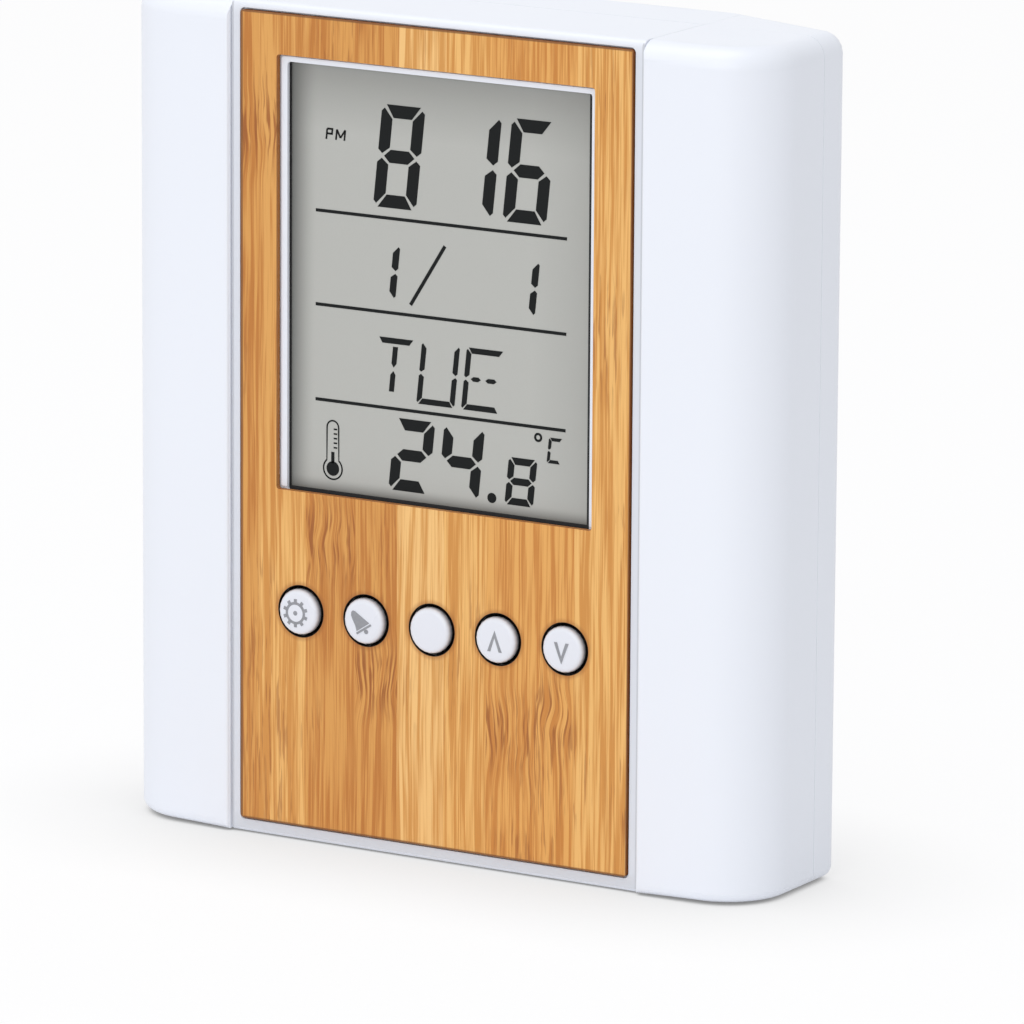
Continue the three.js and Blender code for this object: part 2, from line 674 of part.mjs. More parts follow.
// Parts that stand on the front of the board, behind the display
const CHIP_RISE = (VIEW_LOW + PCB_TOP) / 2;

function chipBlob() {
  const base = PCB_FACE - FIT;
  const crown = new THREE.EllipseCurve(0, base, CHIP_R, CHIP_HEIGHT, -Math.PI / 2, 0);
  const profile = crown.getPoints(FILLET_STEPS).map((point) => [Math.max(point.x, 0), point.y]);
  profile[0][0] = 0;
  return turned([...profile, [0, base]], [0, CHIP_RISE]);
}

function crystalCan() {
  return crossBar(
    [CRYSTAL_X - CRYSTAL_LENGTH / 2, CRYSTAL_X + CRYSTAL_LENGTH / 2],
    PCB_FACE - FIT - CRYSTAL_R,
    CHIP_RISE,
    CRYSTAL_R,
  );
}

function thermistor() {
  const geometry = new THREE.SphereGeometry(THERMISTOR_R, SMALL_ROUND_STEPS, FILLET_STEPS);
  geometry.translate(THERMISTOR_X, PCB_FACE - FIT - THERMISTOR_R, PCB_SCREW_LOW);
  return solid(geometry);
}

function piezoBuzzer() {
  const back = PARTITION_FACE - FIT;
  return bar([0, BUZZER_RISE], [back - BUZZER_THICKNESS, back], BUZZER_R, ROUND_STEPS);
}

// Partition with pads that hold the display forward, open behind the battery compartment
function clockBackPlate() {
  const half = CENTRE_INNER - FIT;
  const cutout = box(
    [-COLUMN_HALF - FIT, COLUMN_HALF + FIT],
    [0, BODY_DEPTH],
    [COLUMN_LOW - FIT, COLUMN_TOP + FIT],
  );
  let piece = box([-half, half], [PARTITION_FACE, PARTITION_BACK], [WALL + FIT, PARTITION_TOP])
    .subtract(cutout);
  const padTop = LCD_TOP - LCD_PAD_BELOW_TOP;
  [-1, 1].forEach((side) => {
    piece = piece.add(sideBox(
      side,
      [LCD_PAD_X - LCD_PAD / 2, LCD_PAD_X + LCD_PAD / 2],
      [LCD_BACK + FIT, PARTITION_FACE + EMBED],
      [padTop - LCD_PAD, padTop],
    ));
  });
  return piece.subtract(bar([0, LOW_SCREW_RISE], [0, BODY_DEPTH], BOSS_R + FIT, ROUND_STEPS));
}

// Keys: domed cap with a retaining flange, switch plunger and switch
function buttonCap(at) {
  const rim = KEY_FACE + KEY_DOME;
  const profile = [[0, KEY_FACE]];
  for (let step = 1; step <= FILLET_STEPS; step += 1) {
    const reach = step / FILLET_STEPS;
    profile.push([(KEY_CAP_R - KEY_EDGE_R) * reach, KEY_FACE + KEY_DOME * reach * reach]);
  }
  profile.push([KEY_CAP_R, rim + KEY_EDGE_R]);
  profile.push([KEY_CAP_R, FLANGE_FACE]);
  profile.push([KEY_FLANGE_R, FLANGE_FACE]);
  profile.push([KEY_FLANGE_R, FLANGE_BACK]);
  profile.push([KEY_POST_R, FLANGE_BACK]);
  profile.push([KEY_POST_R, POST_END]);
  profile.push([0, POST_END]);
  return turned(profile, at);
}

function switchPlunger(at) {
  return bar(at, [PLUNGER_FACE, PLUNGER_END], PLUNGER_R);
}

function tactSwitch([x, z]) {
  const half = SWITCH_SIZE / 2;
  return box([x - half, x + half], [SWITCH_FACE, SWITCH_BACK], [z - half, z + half])
    .subtract(bar([x, z], [0, PIT_BOTTOM], PLUNGER_R + RUNNING_GAP));
}

// Battery compartment pieces
function batteryCell() {
  const geometry = new THREE.LatheGeometry([
    new THREE.Vector2(0, CELL_LOW),
    new THREE.Vector2(CELL_R, CELL_LOW),
    new THREE.Vector2(CELL_R, CELL_TOP - CELL_NUB),
    new THREE.Vector2(CELL_NUB_R, CELL_TOP - CELL_NUB),
    new THREE.Vector2(CELL_NUB_R, CELL_TOP),
    new THREE.Vector2(0, CELL_TOP),
  ], ROUND_STEPS);
  geometry.rotateX(Math.PI / 2);
  geometry.translate(0, CELL_DEPTH, 0);
  return solid(geometry);
}

function positiveContact() {
  const top = COMPARTMENT_TOP - FIT;
  const half = CONTACT_WIDTH / 2;
  return box([-half, half], [CELL_DEPTH - half, CELL_DEPTH + half], [top - CONTACT_THICKNESS, top]);
}

// A bent strip: a foot on the compartment floor and a leaf that rises to the cell
function negativeContact() {
  const half = CONTACT_WIDTH / 2;
  const low = COMPARTMENT_LOW + FIT;
  const high = CELL_LOW - FIT;
  const strip = new THREE.Shape([
    new THREE.Vector2(CELL_DEPTH - half, low),
    new THREE.Vector2(CELL_DEPTH + half, low),
    new THREE.Vector2(CELL_DEPTH + half, low + CONTACT_THICKNESS),
    new THREE.Vector2(CELL_DEPTH - half + CONTACT_THICKNESS, high),
    new THREE.Vector2(CELL_DEPTH - half, high),
    new THREE.Vector2(CELL_DEPTH + half - LEAF_SLANT, low + CONTACT_THICKNESS),
    new THREE.Vector2(CELL_DEPTH - half, low + CONTACT_THICKNESS),
  ]);
  const geometry = new THREE.ExtrudeGeometry(strip, { depth: CONTACT_WIDTH, bevelEnabled: false });
  geometry.translate(0, 0, -half);
  geometry.rotateY(Math.PI / 2);
  geometry.rotateX(Math.PI / 2);
  return solid(geometry);
}

// Flap with a rounded head about its hinge axis, a pin at each end and grip grooves at its free edge
function batteryDoor() {
  const pinEnd = DOOR_HALF + DOOR_PIN_REACH;
  const low = DOORWAY_LOW + FIT;
  const headR = DOOR_THICKNESS / 2;
  let piece = box([-DOOR_HALF, DOOR_HALF], [DOOR_INNER, BODY_DEPTH], [low, DOOR_AXIS_RISE])
    .add(crossBar([-DOOR_HALF, DOOR_HALF], DOOR_AXIS_DEPTH, DOOR_AXIS_RISE, headR, ROUND_STEPS))
    .add(crossBar([-pinEnd, pinEnd], DOOR_AXIS_DEPTH, DOOR_AXIS_RISE, DOOR_PIN_R));
  for (let groove = 0; groove < GRIP_GROOVES; groove += 1) {
    const rise = low + GRIP_RISE + groove * GRIP_PITCH;
    piece = piece.subtract(box(
      [-GRIP_WIDTH / 2, GRIP_WIDTH / 2],
      [BODY_DEPTH - GRIP_DEPTH, BODY_DEPTH + OVERCUT],
      [rise, rise + GRIP_HEIGHT],
    ));
  }
  return piece;
}

// Wing shells, with a lip and a rib that trap the end plate of the tray
function wingShell(side, halfDepth) {
  const grooveStart = WING_INNER + LIP_WIDTH;
  const ribStart = grooveStart + PLATE_THICKNESS + 2 * FIT;
  const hollows = [
    [WING_INNER - OVERCUT, grooveStart, WALL + LIP_HEIGHT],
    [grooveStart, ribStart, WALL],
    [ribStart, ribStart + RIB_WIDTH, WALL + RIB_HEIGHT],
    [ribStart + RIB_WIDTH, BODY_HALF, WALL],
  ];
  let piece = wingBody.intersect(sideBox(side, [WING_INNER, BODY_WIDTH], halfDepth, ALL_HEIGHT));
  hollows.forEach(([from, to, inset]) => {
    piece = piece.subtract(wingHollow(inset).intersect(sideBox(side, [from, to], ALL_DEPTH, ALL_HEIGHT)));
  });
  return piece;
}

function wingFrontShell(side) {
  const edge = sideBox(
    side,
    [WING_INNER - OVERCUT, WING_INNER + WING_EDGE_R],
    [-OVERCUT, WING_EDGE_R],
    ALL_HEIGHT,
  ).subtract(uprightBar(side * (WING_INNER + WING_EDGE_R), WING_EDGE_R, WING_EDGE_R));
  let piece = wingShell(side, FRONT_HALF).subtract(edge);
  WING_SCREW_ROWS.forEach((rise) => {
    const at = [side * WING_SCREW_X, rise];
    piece = piece.add(bar(at, [WALL - EMBED, FRONT_HALF[1]], BOSS_R));
    piece = piece.subtract(bar(at, [SEAT_DEPTH - SCREW_LENGTH - FIT, PARTING_DEPTH + OVERCUT], PILOT_R));
  });
  return piece;
}

function wingRearShell(side) {
  const outside = wingBody.intersect(sideBox(side, [WING_INNER, BODY_WIDTH], REAR_HALF, ALL_HEIGHT));
  let piece = wingShell(side, REAR_HALF);
  WING_SCREW_ROWS.forEach((rise) => {
    const at = [side * WING_SCREW_X, rise];
    piece = piece.add(bar(at, [REAR_HALF[0], BODY_DEPTH], SEAT_BOSS_R).intersect(outside));
    piece = piece.subtract(bar(at, [SEAT_DEPTH, BODY_DEPTH + OVERCUT], COUNTERBORE_R));
    piece = piece.subtract(bar(at, [0, SEAT_DEPTH + EMBED], PILOT_R));
  });
  return piece;
}

// Open-topped tray on its end plate, with a flange that stops it at the mouth
function penTray(side) {
  const plateStart = WING_INNER + LIP_WIDTH + FIT;
  const plateEnd = plateStart + PLATE_THICKNESS;
  const endPlate = wingHollow(WALL + FIT)
    .intersect(sideBox(side, [plateStart, plateEnd], ALL_DEPTH, ALL_HEIGHT));
  const trayBlock = sideBox(
    side,
    [TRAY_END, plateStart + EMBED],
    [TRAY_FRONT, TRAY_REAR],
    [TRAY_LOW, TRAY_TOP],
  );
  const well = sideBox(
    side,
    [TRAY_END + TRAY_FLANGE, plateStart],
    [TRAY_FRONT + TRAY_WALL, TRAY_REAR - TRAY_WALL],
    [TRAY_LOW + TRAY_FLOOR, TRAY_TOP + OVERCUT],
  );
  const flange = sideBox(
    side,
    [TRAY_END, TRAY_END + TRAY_FLANGE],
    [TRAY_FRONT, REAR_INNER - RUNNING_GAP],
    [TRAY_LOW, TRAY_TOP],
  );
  return endPlate.add(trayBlock).subtract(well).add(flange);
}

// A pan-headed screw driven from the back, its head seated at the given depth
function screw(at, seat, length, headHeight) {
  const head = seat + FIT;
  const tip = head - length;
  const profile = [
    [0, tip],
    [SCREW_TIP_R, tip],
    [SCREW_R, tip + SCREW_R],
    [SCREW_R, head],
    [SCREW_HEAD_R, head],
    [SCREW_HEAD_R, head + headHeight - SCREW_CROWN],
    [SCREW_CROWN_R, head + headHeight],
    [0, head + headHeight],
  ];
  const slotDepth = [head + headHeight - SLOT_DEPTH, head + headHeight + OVERCUT];
  const across = [SLOT_LENGTH / 2, SLOT_WIDTH / 2];
  const crossRecess = [across, [...across].reverse()].map(([halfX, halfZ]) => box(
    [at[0] - halfX, at[0] + halfX], slotDepth, [at[1] - halfZ, at[1] + halfZ],
  ));
  return turned(profile, at, SMALL_ROUND_STEPS).subtract(crossRecess[0].add(crossRecess[1]));
}

addPiece('front_housing', frontHousing(), 'whiteAbs');
addPiece('rear_housing', rearHousing(), 'whiteAbs');
addPiece('bamboo_panel', bambooPanel(), 'bamboo');
addPiece('lcd_glass', lcdGlass(), 'display');
addPiece('zebra_strip', zebraStrip(), 'rubber');
addPiece('main_pcb', mainPcb(), 'board');
addPiece('chip_blob', chipBlob(), 'blackPart');
addPiece('crystal_can', crystalCan(), 'steel');
addPiece('thermistor', thermistor(), 'blackPart');
addPiece('piezo_buzzer', piezoBuzzer(), 'brass');
addPiece('clock_back_plate', clockBackPlate(), 'innerAbs');
addPiece('battery_cell', batteryCell(), 'cellJacket');
addPiece('positive_contact', positiveContact(), 'steel');
addPiece('negative_contact', negativeContact(), 'steel');
addPiece('battery_door', batteryDoor(), 'whiteAbs');

keyPlaces.forEach((at, i) => {
  addPiece(`button_cap_${i + 1}`, buttonCap(at), 'keyAbs');
  addPiece(`switch_plunger_${i + 1}`, switchPlunger(at), 'blackPart');
  addPiece(`tact_switch_${i + 1}`, tactSwitch(at), 'blackPart');
});
HOUSING_SCREWS.forEach((at, i) => {
  addPiece(`housing_screw_${i + 1}`, screw(at, SEAT_DEPTH, SCREW_LENGTH, SCREW_HEAD), 'steel');
});
PCB_SCREWS.forEach((at, i) => {
  addPiece(`pcb_screw_${i + 1}`, screw(at, PCB_BACK, PCB_SCREW_LENGTH, PCB_SCREW_HEAD), 'steel');
});

[[-1, 'left'], [1, 'right']].forEach(([side, word]) => {
  addPiece(`${word}_wing_front_shell`, wingFrontShell(side), 'whiteAbs');
  addPiece(`${word}_wing_rear_shell`, wingRearShell(side), 'whiteAbs');
  addPiece(`${word}_pen_tray`, penTray(side), 'whiteAbs');
  WING_SCREW_ROWS.forEach((rise, i) => {
    const at = [side * WING_SCREW_X, rise];
    addPiece(`${word}_wing_screw_${i + 1}`, screw(at, SEAT_DEPTH, SCREW_LENGTH, SCREW_HEAD), 'steel');
  });
});

export default group;
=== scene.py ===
"""Desk clock pen holder: finishes, display readout, key marks and studio stage.

The packed model is the fixed frame. Every operator finishes one group of its
pieces, or builds the thin printed pieces that lie on them.
"""

import json
from math import cos, pi, sin, tau

import bmesh
import bpy
from bpy.props import FloatProperty, FloatVectorProperty, PointerProperty
from bpy.types import Operator, Panel, PropertyGroup
from mathutils import Matrix, Vector
from mathutils.bvhtree import BVHTree
from mathutils.geometry import convex_hull_2d

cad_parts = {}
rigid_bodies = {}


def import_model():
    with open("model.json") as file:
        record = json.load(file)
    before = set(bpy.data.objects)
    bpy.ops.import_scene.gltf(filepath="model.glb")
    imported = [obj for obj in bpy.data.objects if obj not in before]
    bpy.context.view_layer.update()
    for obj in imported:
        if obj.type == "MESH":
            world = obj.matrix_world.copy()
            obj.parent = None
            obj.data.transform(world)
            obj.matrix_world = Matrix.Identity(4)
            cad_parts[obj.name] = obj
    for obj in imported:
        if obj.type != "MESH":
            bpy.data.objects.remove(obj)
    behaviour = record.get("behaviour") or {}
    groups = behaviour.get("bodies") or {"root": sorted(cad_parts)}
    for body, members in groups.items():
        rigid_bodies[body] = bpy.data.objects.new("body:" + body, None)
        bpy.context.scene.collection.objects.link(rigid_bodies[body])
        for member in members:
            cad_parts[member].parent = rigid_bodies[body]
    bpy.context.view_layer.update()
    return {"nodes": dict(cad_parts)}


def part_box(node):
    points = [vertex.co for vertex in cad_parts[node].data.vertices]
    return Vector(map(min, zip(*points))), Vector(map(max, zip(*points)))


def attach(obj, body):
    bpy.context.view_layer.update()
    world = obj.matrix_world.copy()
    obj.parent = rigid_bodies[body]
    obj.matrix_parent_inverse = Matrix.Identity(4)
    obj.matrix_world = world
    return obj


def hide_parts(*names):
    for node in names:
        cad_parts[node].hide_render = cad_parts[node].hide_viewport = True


for startup_object in list(bpy.data.objects):
    bpy.data.objects.remove(startup_object)

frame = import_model()

bl_info = {
    "name": "Desk Clock Pen Holder",
    "version": (1, 0, 0),
    "blender": (4, 5, 0),
    "location": "View3D > Sidebar > Desk Clock",
    "description": "Finishes, readout, key marks and stage for a desk clock with pull-out pen trays",
    "category": "Object",
}

MM = 0.001
FRAME_LOW, FRAME_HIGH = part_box("front_housing")
# levels over the height of the frame's front: a greyer white than the shell, with painted shade towards
# the bottom and painted light at the top
FRAME_SHADE = ((0.0, 0.78), (0.0175, 0.8), (0.024, 0.86), (0.982, 0.86), (0.992, 0.94))
PANEL_LOW, PANEL_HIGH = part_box("bamboo_panel")
GLASS_LOW, GLASS_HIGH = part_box("lcd_glass")
GLASS_FACE = GLASS_LOW.y

SIDES = ("left", "right")
KEY_COUNT = 5
SHELLS = ("front_housing", "rear_housing")
TRAYS = tuple(f"{side}_pen_tray" for side in SIDES)
CAPS = tuple(f"button_cap_{i + 1}" for i in range(KEY_COUNT))
SCREWS = tuple(name for name in sorted(frame["nodes"]) if "_screw_" in name)
KEY_MIDDLES = tuple((low + high) / 2 for low, high in (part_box(name) for name in CAPS))
KEY_PITCH = KEY_MIDDLES[1].x - KEY_MIDDLES[0].x
KEY_ROW = KEY_MIDDLES[0].z
KEY_HOLE = 3.3 * MM
WING_PARTING = (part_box("right_wing_front_shell")[1].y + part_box("right_wing_rear_shell")[0].y) / 2
HOLE_BLUR = 0.05 * MM
READOUT_RISE = 0.45 * MM
WELD = 0.002 * MM
FLAT_ANGLE = 0.004
SHARP_ANGLE = 0.7


def shade(red, green, blue):
    """Linear colour of a display shade given in 0 to 255."""
    levels = []
    for level in (red, green, blue):
        part = level / 255
        levels.append(part / 12.92 if part <= 0.04045 else ((part + 0.055) / 1.055) ** 2.4)
    return (*levels, 1.0)


def colour_prop(name, description, *levels):
    """A colour setting with its default given as a display shade."""
    return FloatVectorProperty(
        name=name,
        description=description,
        subtype="COLOR",
        size=4,
        min=0.0,
        max=1.0,
        default=shade(*levels),
    )


def length_prop(name, description, millimetres):
    """A length setting with its default given in millimetres."""
    return FloatProperty(
        name=name,
        description=description,
        unit="LENGTH",
        precision=5,
        default=millimetres * MM,
    )


def share_prop(name, description, default):
    """A setting between 0 and 1."""
    return FloatProperty(
        name=name,
        description=description,
        subtype="FACTOR",
        min=0.0,
        max=1.0,
        default=default,
    )


def angle_prop(name, description, degrees):
    """An angle setting with its default given in degrees."""
    return FloatProperty(name=name, description=description, subtype="ANGLE", default=degrees * pi / 180)


def power_prop(name, description, watts):
    """The power of a lamp."""
    return FloatProperty(name=name, description=description, unit="POWER", default=watts)


class ShellSettings(PropertyGroup):
    """Moulded housing, wings and trays."""

    colour: colour_prop("Shell", "Colour of the moulded housing", 235, 239, 248)
    tray_colour: colour_prop("Tray", "Colour of the pen trays and inner plates", 226, 229, 236)
    gloss: share_prop("Roughness", "Roughness of the moulded skin", 0.36)
    wing_edge: length_prop("Wing edge", "Rounding of the wing edges", 0.03)
    foot_radius: length_prop("Foot", "Rounding of the wings round their foot", 1.5)
    foot_drop: length_prop("Foot drop", "How much lower the wings reach than their solids", 0.12)
    seam: length_prop("Seam", "Width left at the closed seams of the wings", 0.04)
    groove: length_prop("Groove", "Width of the open grooves between the front and the wings", 0.07)
    # painted shade on the front beside the grooves
    groove_shade: share_prop("Groove tone", "Brightness of the front beside the grooves", 0.68)
    shell_edge: length_prop("Shell edge", "Rounding of the housing edges", 0.08)
    small_edge: length_prop("Small edge", "Rounding of small moulded parts", 0.12)


class BambooSettings(PropertyGroup):
    """Laminated bamboo front panel."""

    pale: colour_prop("Pale strip", "Palest bamboo strips", 228, 174, 102)
    golden: colour_prop("Golden strip", "Golden bamboo strips", 224, 166, 90)
    tan: colour_prop("Tan strip", "Middle bamboo strips", 215, 151, 74)
    brown: colour_prop("Brown strip", "Darkest bamboo strips", 205, 140, 65)
    fibre: colour_prop("Fibre", "Dark fibre dashes in the grain", 150, 82, 22)
    # painted shade: colour of the darker rim along the sheet's edges
    rim: colour_prop("Rim", "Browned rim round the sheet", 118, 72, 32)
    edge: length_prop("Edge", "Rounding of the panel's cut edges", 0.2)


class DisplaySettings(PropertyGroup):
    """Display glass and its readout."""

    glass: colour_prop("Glass", "Reflective grey of the display", 179, 180, 176)
    border: colour_prop("Border", "Grey of the shaded border of the display", 92, 93, 90)
    ink: colour_prop("Segments", "Dark grey of the lit segments", 16, 19, 20)
    slant: share_prop("Slant", "Sideways lean of the digits for each unit of height", 0.103)
    lift: length_prop("Segment lift", "Height of the segments above the glass", 0.03)
    gasket: length_prop("Gasket", "Thickness of the black gasket round the view", 0.15)


class KeySettings(PropertyGroup):
    """Keys and the marks printed on them."""

    cap: colour_prop("Cap", "Colour of the key caps", 228, 231, 240)
    mark: colour_prop("Mark", "Colour of the printed marks", 150, 152, 158)
    lift: length_prop("Mark lift", "Height of the printed marks above the caps", 0.02)
    stroke: length_prop("Stroke", "Stroke width of the printed marks", 0.42)
    edge: length_prop("Cap edge", "Rounding of the key caps", 0.5)
    stand: length_prop("Cap stand", "How much further out the caps stand than their solids", 0.35)
    # painted shade: colour painted down in the gap round each cap
    gap_shade: colour_prop("Gap", "Colour down in the gap round each cap", 26, 20, 16)


class StageSettings(PropertyGroup):
    """Camera, lights and floor."""

    azimuth: angle_prop("Azimuth", "Turn of the camera to the right of the front", 30.966)
    elevation: angle_prop("Elevation", "Height of the camera above the level", 12.362)
    roll: angle_prop("Roll", "Tilt of the camera about its own axis", 0.356)
    aim_side: length_prop("Aim side", "Place that the camera aims at, to the right of the middle", 0.11)
    aim_height: length_prop("Aim height", "Place that the camera aims at, above the base", 52.95)
    distance: length_prop("Distance", "Distance of the camera from the panel", 1103.0)
    slide: length_prop("Slide", "Sideways shift of the camera", 9.617)
    drop: length_prop("Drop", "Downward shift of the camera", 8.669)
    lens: FloatProperty(
        name="Lens",
        description="Focal length in millimetres on a 36 mm sensor",
        unit="CAMERA",
        default=317.32,
    )
    top_power: power_prop("Top light", "Power of the soft light overhead", 7.0)
    front_power: power_prop("Front light", "Power of the low soft light in front", 7.8)
    ambient: share_prop("Ambient", "Strength of the even light from all round", 0.63)
    floor_radius: length_prop("Floor", "Radius of the floor", 1800.0)
    floor_glow: share_prop("Floor glow", "Share of plain white in the floor's look", 0.88)
    floor_reach: length_prop("Floor shade", "Reach of the shade round the foot on the floor", 28.0)


class Finish:
    """A material under construction: its shader and the nodes that feed it."""

    def __init__(self, name, sockets):
        self.material = bpy.data.materials.new(name)
        self.material.use_nodes = True
        self.tree = self.material.node_tree
        self.shader = self.tree.nodes["Principled BSDF"]
        for socket, value in sockets.items():
            self.shader.inputs[socket].default_value = value

    def add(self, kind, feeds=None, **settings):
        """A new node. Feeds maps its inputs to values or to other nodes' outputs."""
        made = self.tree.nodes.new("ShaderNode" + kind)
        for name, value in settings.items():
            setattr(made, name, value)
        for key, value in (feeds or {}).items():
            if isinstance(value, bpy.types.NodeSocket):
                self.tree.links.new(value, made.inputs[key])
            else:
                made.inputs[key].default_value = value
        return made

    def feed(self, socket, output):
        """Leads an output into one of the shader's sockets."""
        self.tree.links.new(output, self.shader.inputs[socket])

    def place(self):
        """Coordinates in the object's own frame, in metres."""
        return self.add("TexCoord").outputs["Object"]

    def split(self, vector):
        """The three parts of a vector."""
        return self.add("SeparateXYZ", {0: vector}).outputs

    def join(self, x, y, z):
        """A vector from three parts."""
        return self.add("CombineXYZ", {0: x, 1: y, 2: z}).outputs[0]

    def calc(self, operation, first, second=0.0):
        """One arithmetic step."""
        return self.add("Math", {0: first, 1: second}, operation=operation).outputs[0]

    def step(self, value, low, high, smooth=True, start=0.0, end=1.0):
        """Maps low to high onto start to end, held at both ends."""
        kind = "SMOOTHSTEP" if smooth else "LINEAR"
        feeds = {"Value": value, "From Min": low, "From Max": high, "To Min": start, "To Max": end}
        return self.add("MapRange", feeds, interpolation_type=kind).outputs["Result"]

    def spread(self, noise, low, high):
        """Spreads a noise value over a range, held where the noise is rare."""
        return self.step(noise, 0.3, 0.7, True, low, high)

    def noise(self, vector, scale, detail=3.0, rough=0.55):
        """Soft random value between 0 and 1."""
        feeds = {"Vector": vector, "Scale": scale, "Detail": detail, "Roughness": rough}
        return self.add("TexNoise", feeds).outputs["Fac"]

    def stretch(self, vector, scale):
        """The vector with each part scaled."""
        feeds = {0: vector, 1: scale}
        return self.add("VectorMath", feeds, operation="MULTIPLY").outputs[0]

    def ramp(self, factor, stops, kind="LINEAR"):
        """A colour ramp with stops of (place, colour)."""
        made = self.add("ValToRGB", {0: factor})
        made.color_ramp.interpolation = kind
        points = made.color_ramp.elements
        while len(points) < len(stops):
            points.new(1.0)
        for point, (place, colour) in zip(points, stops):
            point.position = place
            point.color = colour
        return made.outputs["Color"]

    def mix(self, factor, first, second, blend="MIX"):
        """Two colours mixed by a factor."""
        made = self.add("Mix", data_type="RGBA", blend_type=blend)
        for socket, value in ((0, factor), (6, first), (7, second)):
            if isinstance(value, bpy.types.NodeSocket):
                self.tree.links.new(value, made.inputs[socket])
            else:
                made.inputs[socket].default_value = value
        return made.outputs[2]

    def bump(self, height, strength, distance):
        """Leads a height into the shader's normal."""
        feeds = {"Height": height, "Strength": strength, "Distance": distance}
        made = self.add("Bump", feeds)
        self.feed("Normal", made.outputs["Normal"])


def scaled(colour, level):
    """The colour with its brightness scaled."""
    return (*(part * level for part in colour[:3]), 1.0)


def moulded_finish(name, colour, roughness, grain=700.0, painted_shade=None):
    """Moulded plastic: faint cloudiness, a soft skin texture, slightly uneven gloss and any painted
    shade given.
    """
    made = Finish(name, {"IOR": 1.5})
    place = made.place()
    cloud = made.noise(place, 22.0, 2.0)
    skin = made.noise(place, grain, 1.0)
    base = made.mix(cloud, scaled(colour, 0.985), scaled(colour, 1.015))
    made.feed("Base Color", painted_shade(made, place, base) if painted_shade else base)
    made.feed("Roughness", made.spread(made.noise(place, 60.0), roughness - 0.02, roughness + 0.03))
    made.bump(skin, 0.015, 0.04 * MM)
    return made.material


def key_distance(finish, place):
    """Distance from the nearest key's axis, seen from the front."""
    x, _, z = finish.split(place)
    aside = finish.calc("MINIMUM", finish.calc("ABSOLUTE", x), KEY_PITCH * KEY_COUNT / 2)
    near_x = finish.calc("PINGPONG", aside, KEY_PITCH / 2)
    near_z = finish.calc("SUBTRACT", z, KEY_ROW)
    feeds = {0: finish.join(near_x, 0.0, near_z)}
    return finish.add("VectorMath", feeds, operation="LENGTH").outputs["Value"]


def key_gap_shade(finish, away):
    """Mask of the painted shade in the holes round the keys: 1 inside them and 0 elsewhere."""
    return finish.step(away, KEY_HOLE + HOLE_BLUR, KEY_HOLE)


def metal_finish(name, colour, roughness, brushed=(900.0, 900.0, 60.0)):
    """Bare metal with fine drawn lines and a slightly uneven tone."""
    made = Finish(name, {"Metallic": 1.0})
    place = made.place()
    lines = made.noise(made.stretch(place, brushed), 8.0, 4.0)
    tone = made.noise(place, 420.0, 2.0)
    made.feed("Base Color", made.mix(tone, scaled(colour, 0.86), scaled(colour, 1.08)))
    made.feed("Roughness", made.spread(lines, roughness - 0.07, roughness + 0.1))
    made.bump(lines, 0.08, 0.03 * MM)
    return made.material


def board_finish(name, colour):
    """Green circuit board: solder mask over fine copper tracks."""
    made = Finish(name, {"IOR": 1.52, "Roughness": 0.34})
    place = made.place()
    cells = made.add("TexVoronoi", {"Vector": place, "Scale": 420.0}, distance="MANHATTAN", feature="F1")
    track = made.step(cells.outputs["Distance"], 0.34, 0.38)
    weave = made.noise(made.stretch(place, (1.0, 1.0, 3.0)), 1500.0, 2.0)
    mask = made.mix(track, colour, scaled(colour, 1.7))
    made.feed("Base Color", made.mix(weave, scaled(colour, 0.8), mask))
    made.bump(track, 0.12, 0.04 * MM)
    return made.material


def frame_nodes(names):
    """The frame's objects of these names."""
    return [frame["nodes"][name] for name in names]


def paint(names, material):
    """Gives the material to each named frame node."""
    for name in names:
        slots = frame["nodes"][name].data.materials
        slots.clear()
        slots.append(material)


def soften(nodes, width, segments=2, join_flats=True):
    """Rounds the edges of nodes or pieces and shades them smoothly, in modifiers only."""
    for node in nodes:
        for layer in ("custom_normal", "sharp_edge", "sharp_face"):
            held = node.data.attributes.get(layer)
            if held:
                node.data.attributes.remove(held)
        weld = node.modifiers.new("Join corners", "WELD")
        weld.merge_threshold = WELD
        if join_flats:
            flat = node.modifiers.new("Join flats", "DECIMATE")
            flat.decimate_type = "DISSOLVE"
            flat.angle_limit = FLAT_ANGLE
        edge = node.modifiers.new("Round edges", "BEVEL")
        edge.width = width
        edge.segments = segments
        edge.limit_method = "ANGLE"
        edge.angle_limit = SHARP_ANGLE
        edge.use_clamp_overlap = True
        edge.miter_outer = "MITER_ARC"
        smooth = node.modifiers.new("Even shading", "WEIGHTED_NORMAL")
        smooth.weight = 60
        smooth.keep_sharp = False


def new_piece(name, mesh, material, body):
    """Links a finished mesh as a piece that rides on a body of the frame."""
    made = bpy.data.meshes.new(name)
    bmesh.ops.recalc_face_normals(mesh, faces=mesh.faces)
    mesh.to_mesh(made)
    mesh.free()
    made.materials.append(material)
    piece = bpy.data.objects.new(name, made)
    bpy.context.scene.collection.objects.link(piece)
    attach(piece, body)
    return piece


def add_prism(mesh, outline, front, back):
    """Adds a flat plate with this outline, given as (x, z) in mm, between two depths in metres."""
    faces = [[mesh.verts.new((x * MM, depth, z * MM)) for x, z in outline] for depth in (front, back)]
    mesh.faces.new(faces[0])
    mesh.faces.new(reversed(faces[1]))
    count = len(outline)
    for i in range(count):
        j = (i + 1) % count
        mesh.faces.new((faces[0][i], faces[1][i], faces[1][j], faces[0][j]))


def add_ring(mesh, outer, inner, front, back):
    """Adds a flat plate with a hole; both outlines have the same number of points in mm."""
    loops = [
        [mesh.verts.new((x * MM, depth, z * MM)) for x, z in outline]
        for depth in (front, back)
        for outline in (outer, inner)
    ]
    count = len(outer)
    for i in range(count):
        j = (i + 1) % count
        for a, b in ((0, 1), (1, 3), (3, 2), (2, 0)):
            mesh.faces.new((loops[a][i], loops[a][j], loops[b][j], loops[b][i]))


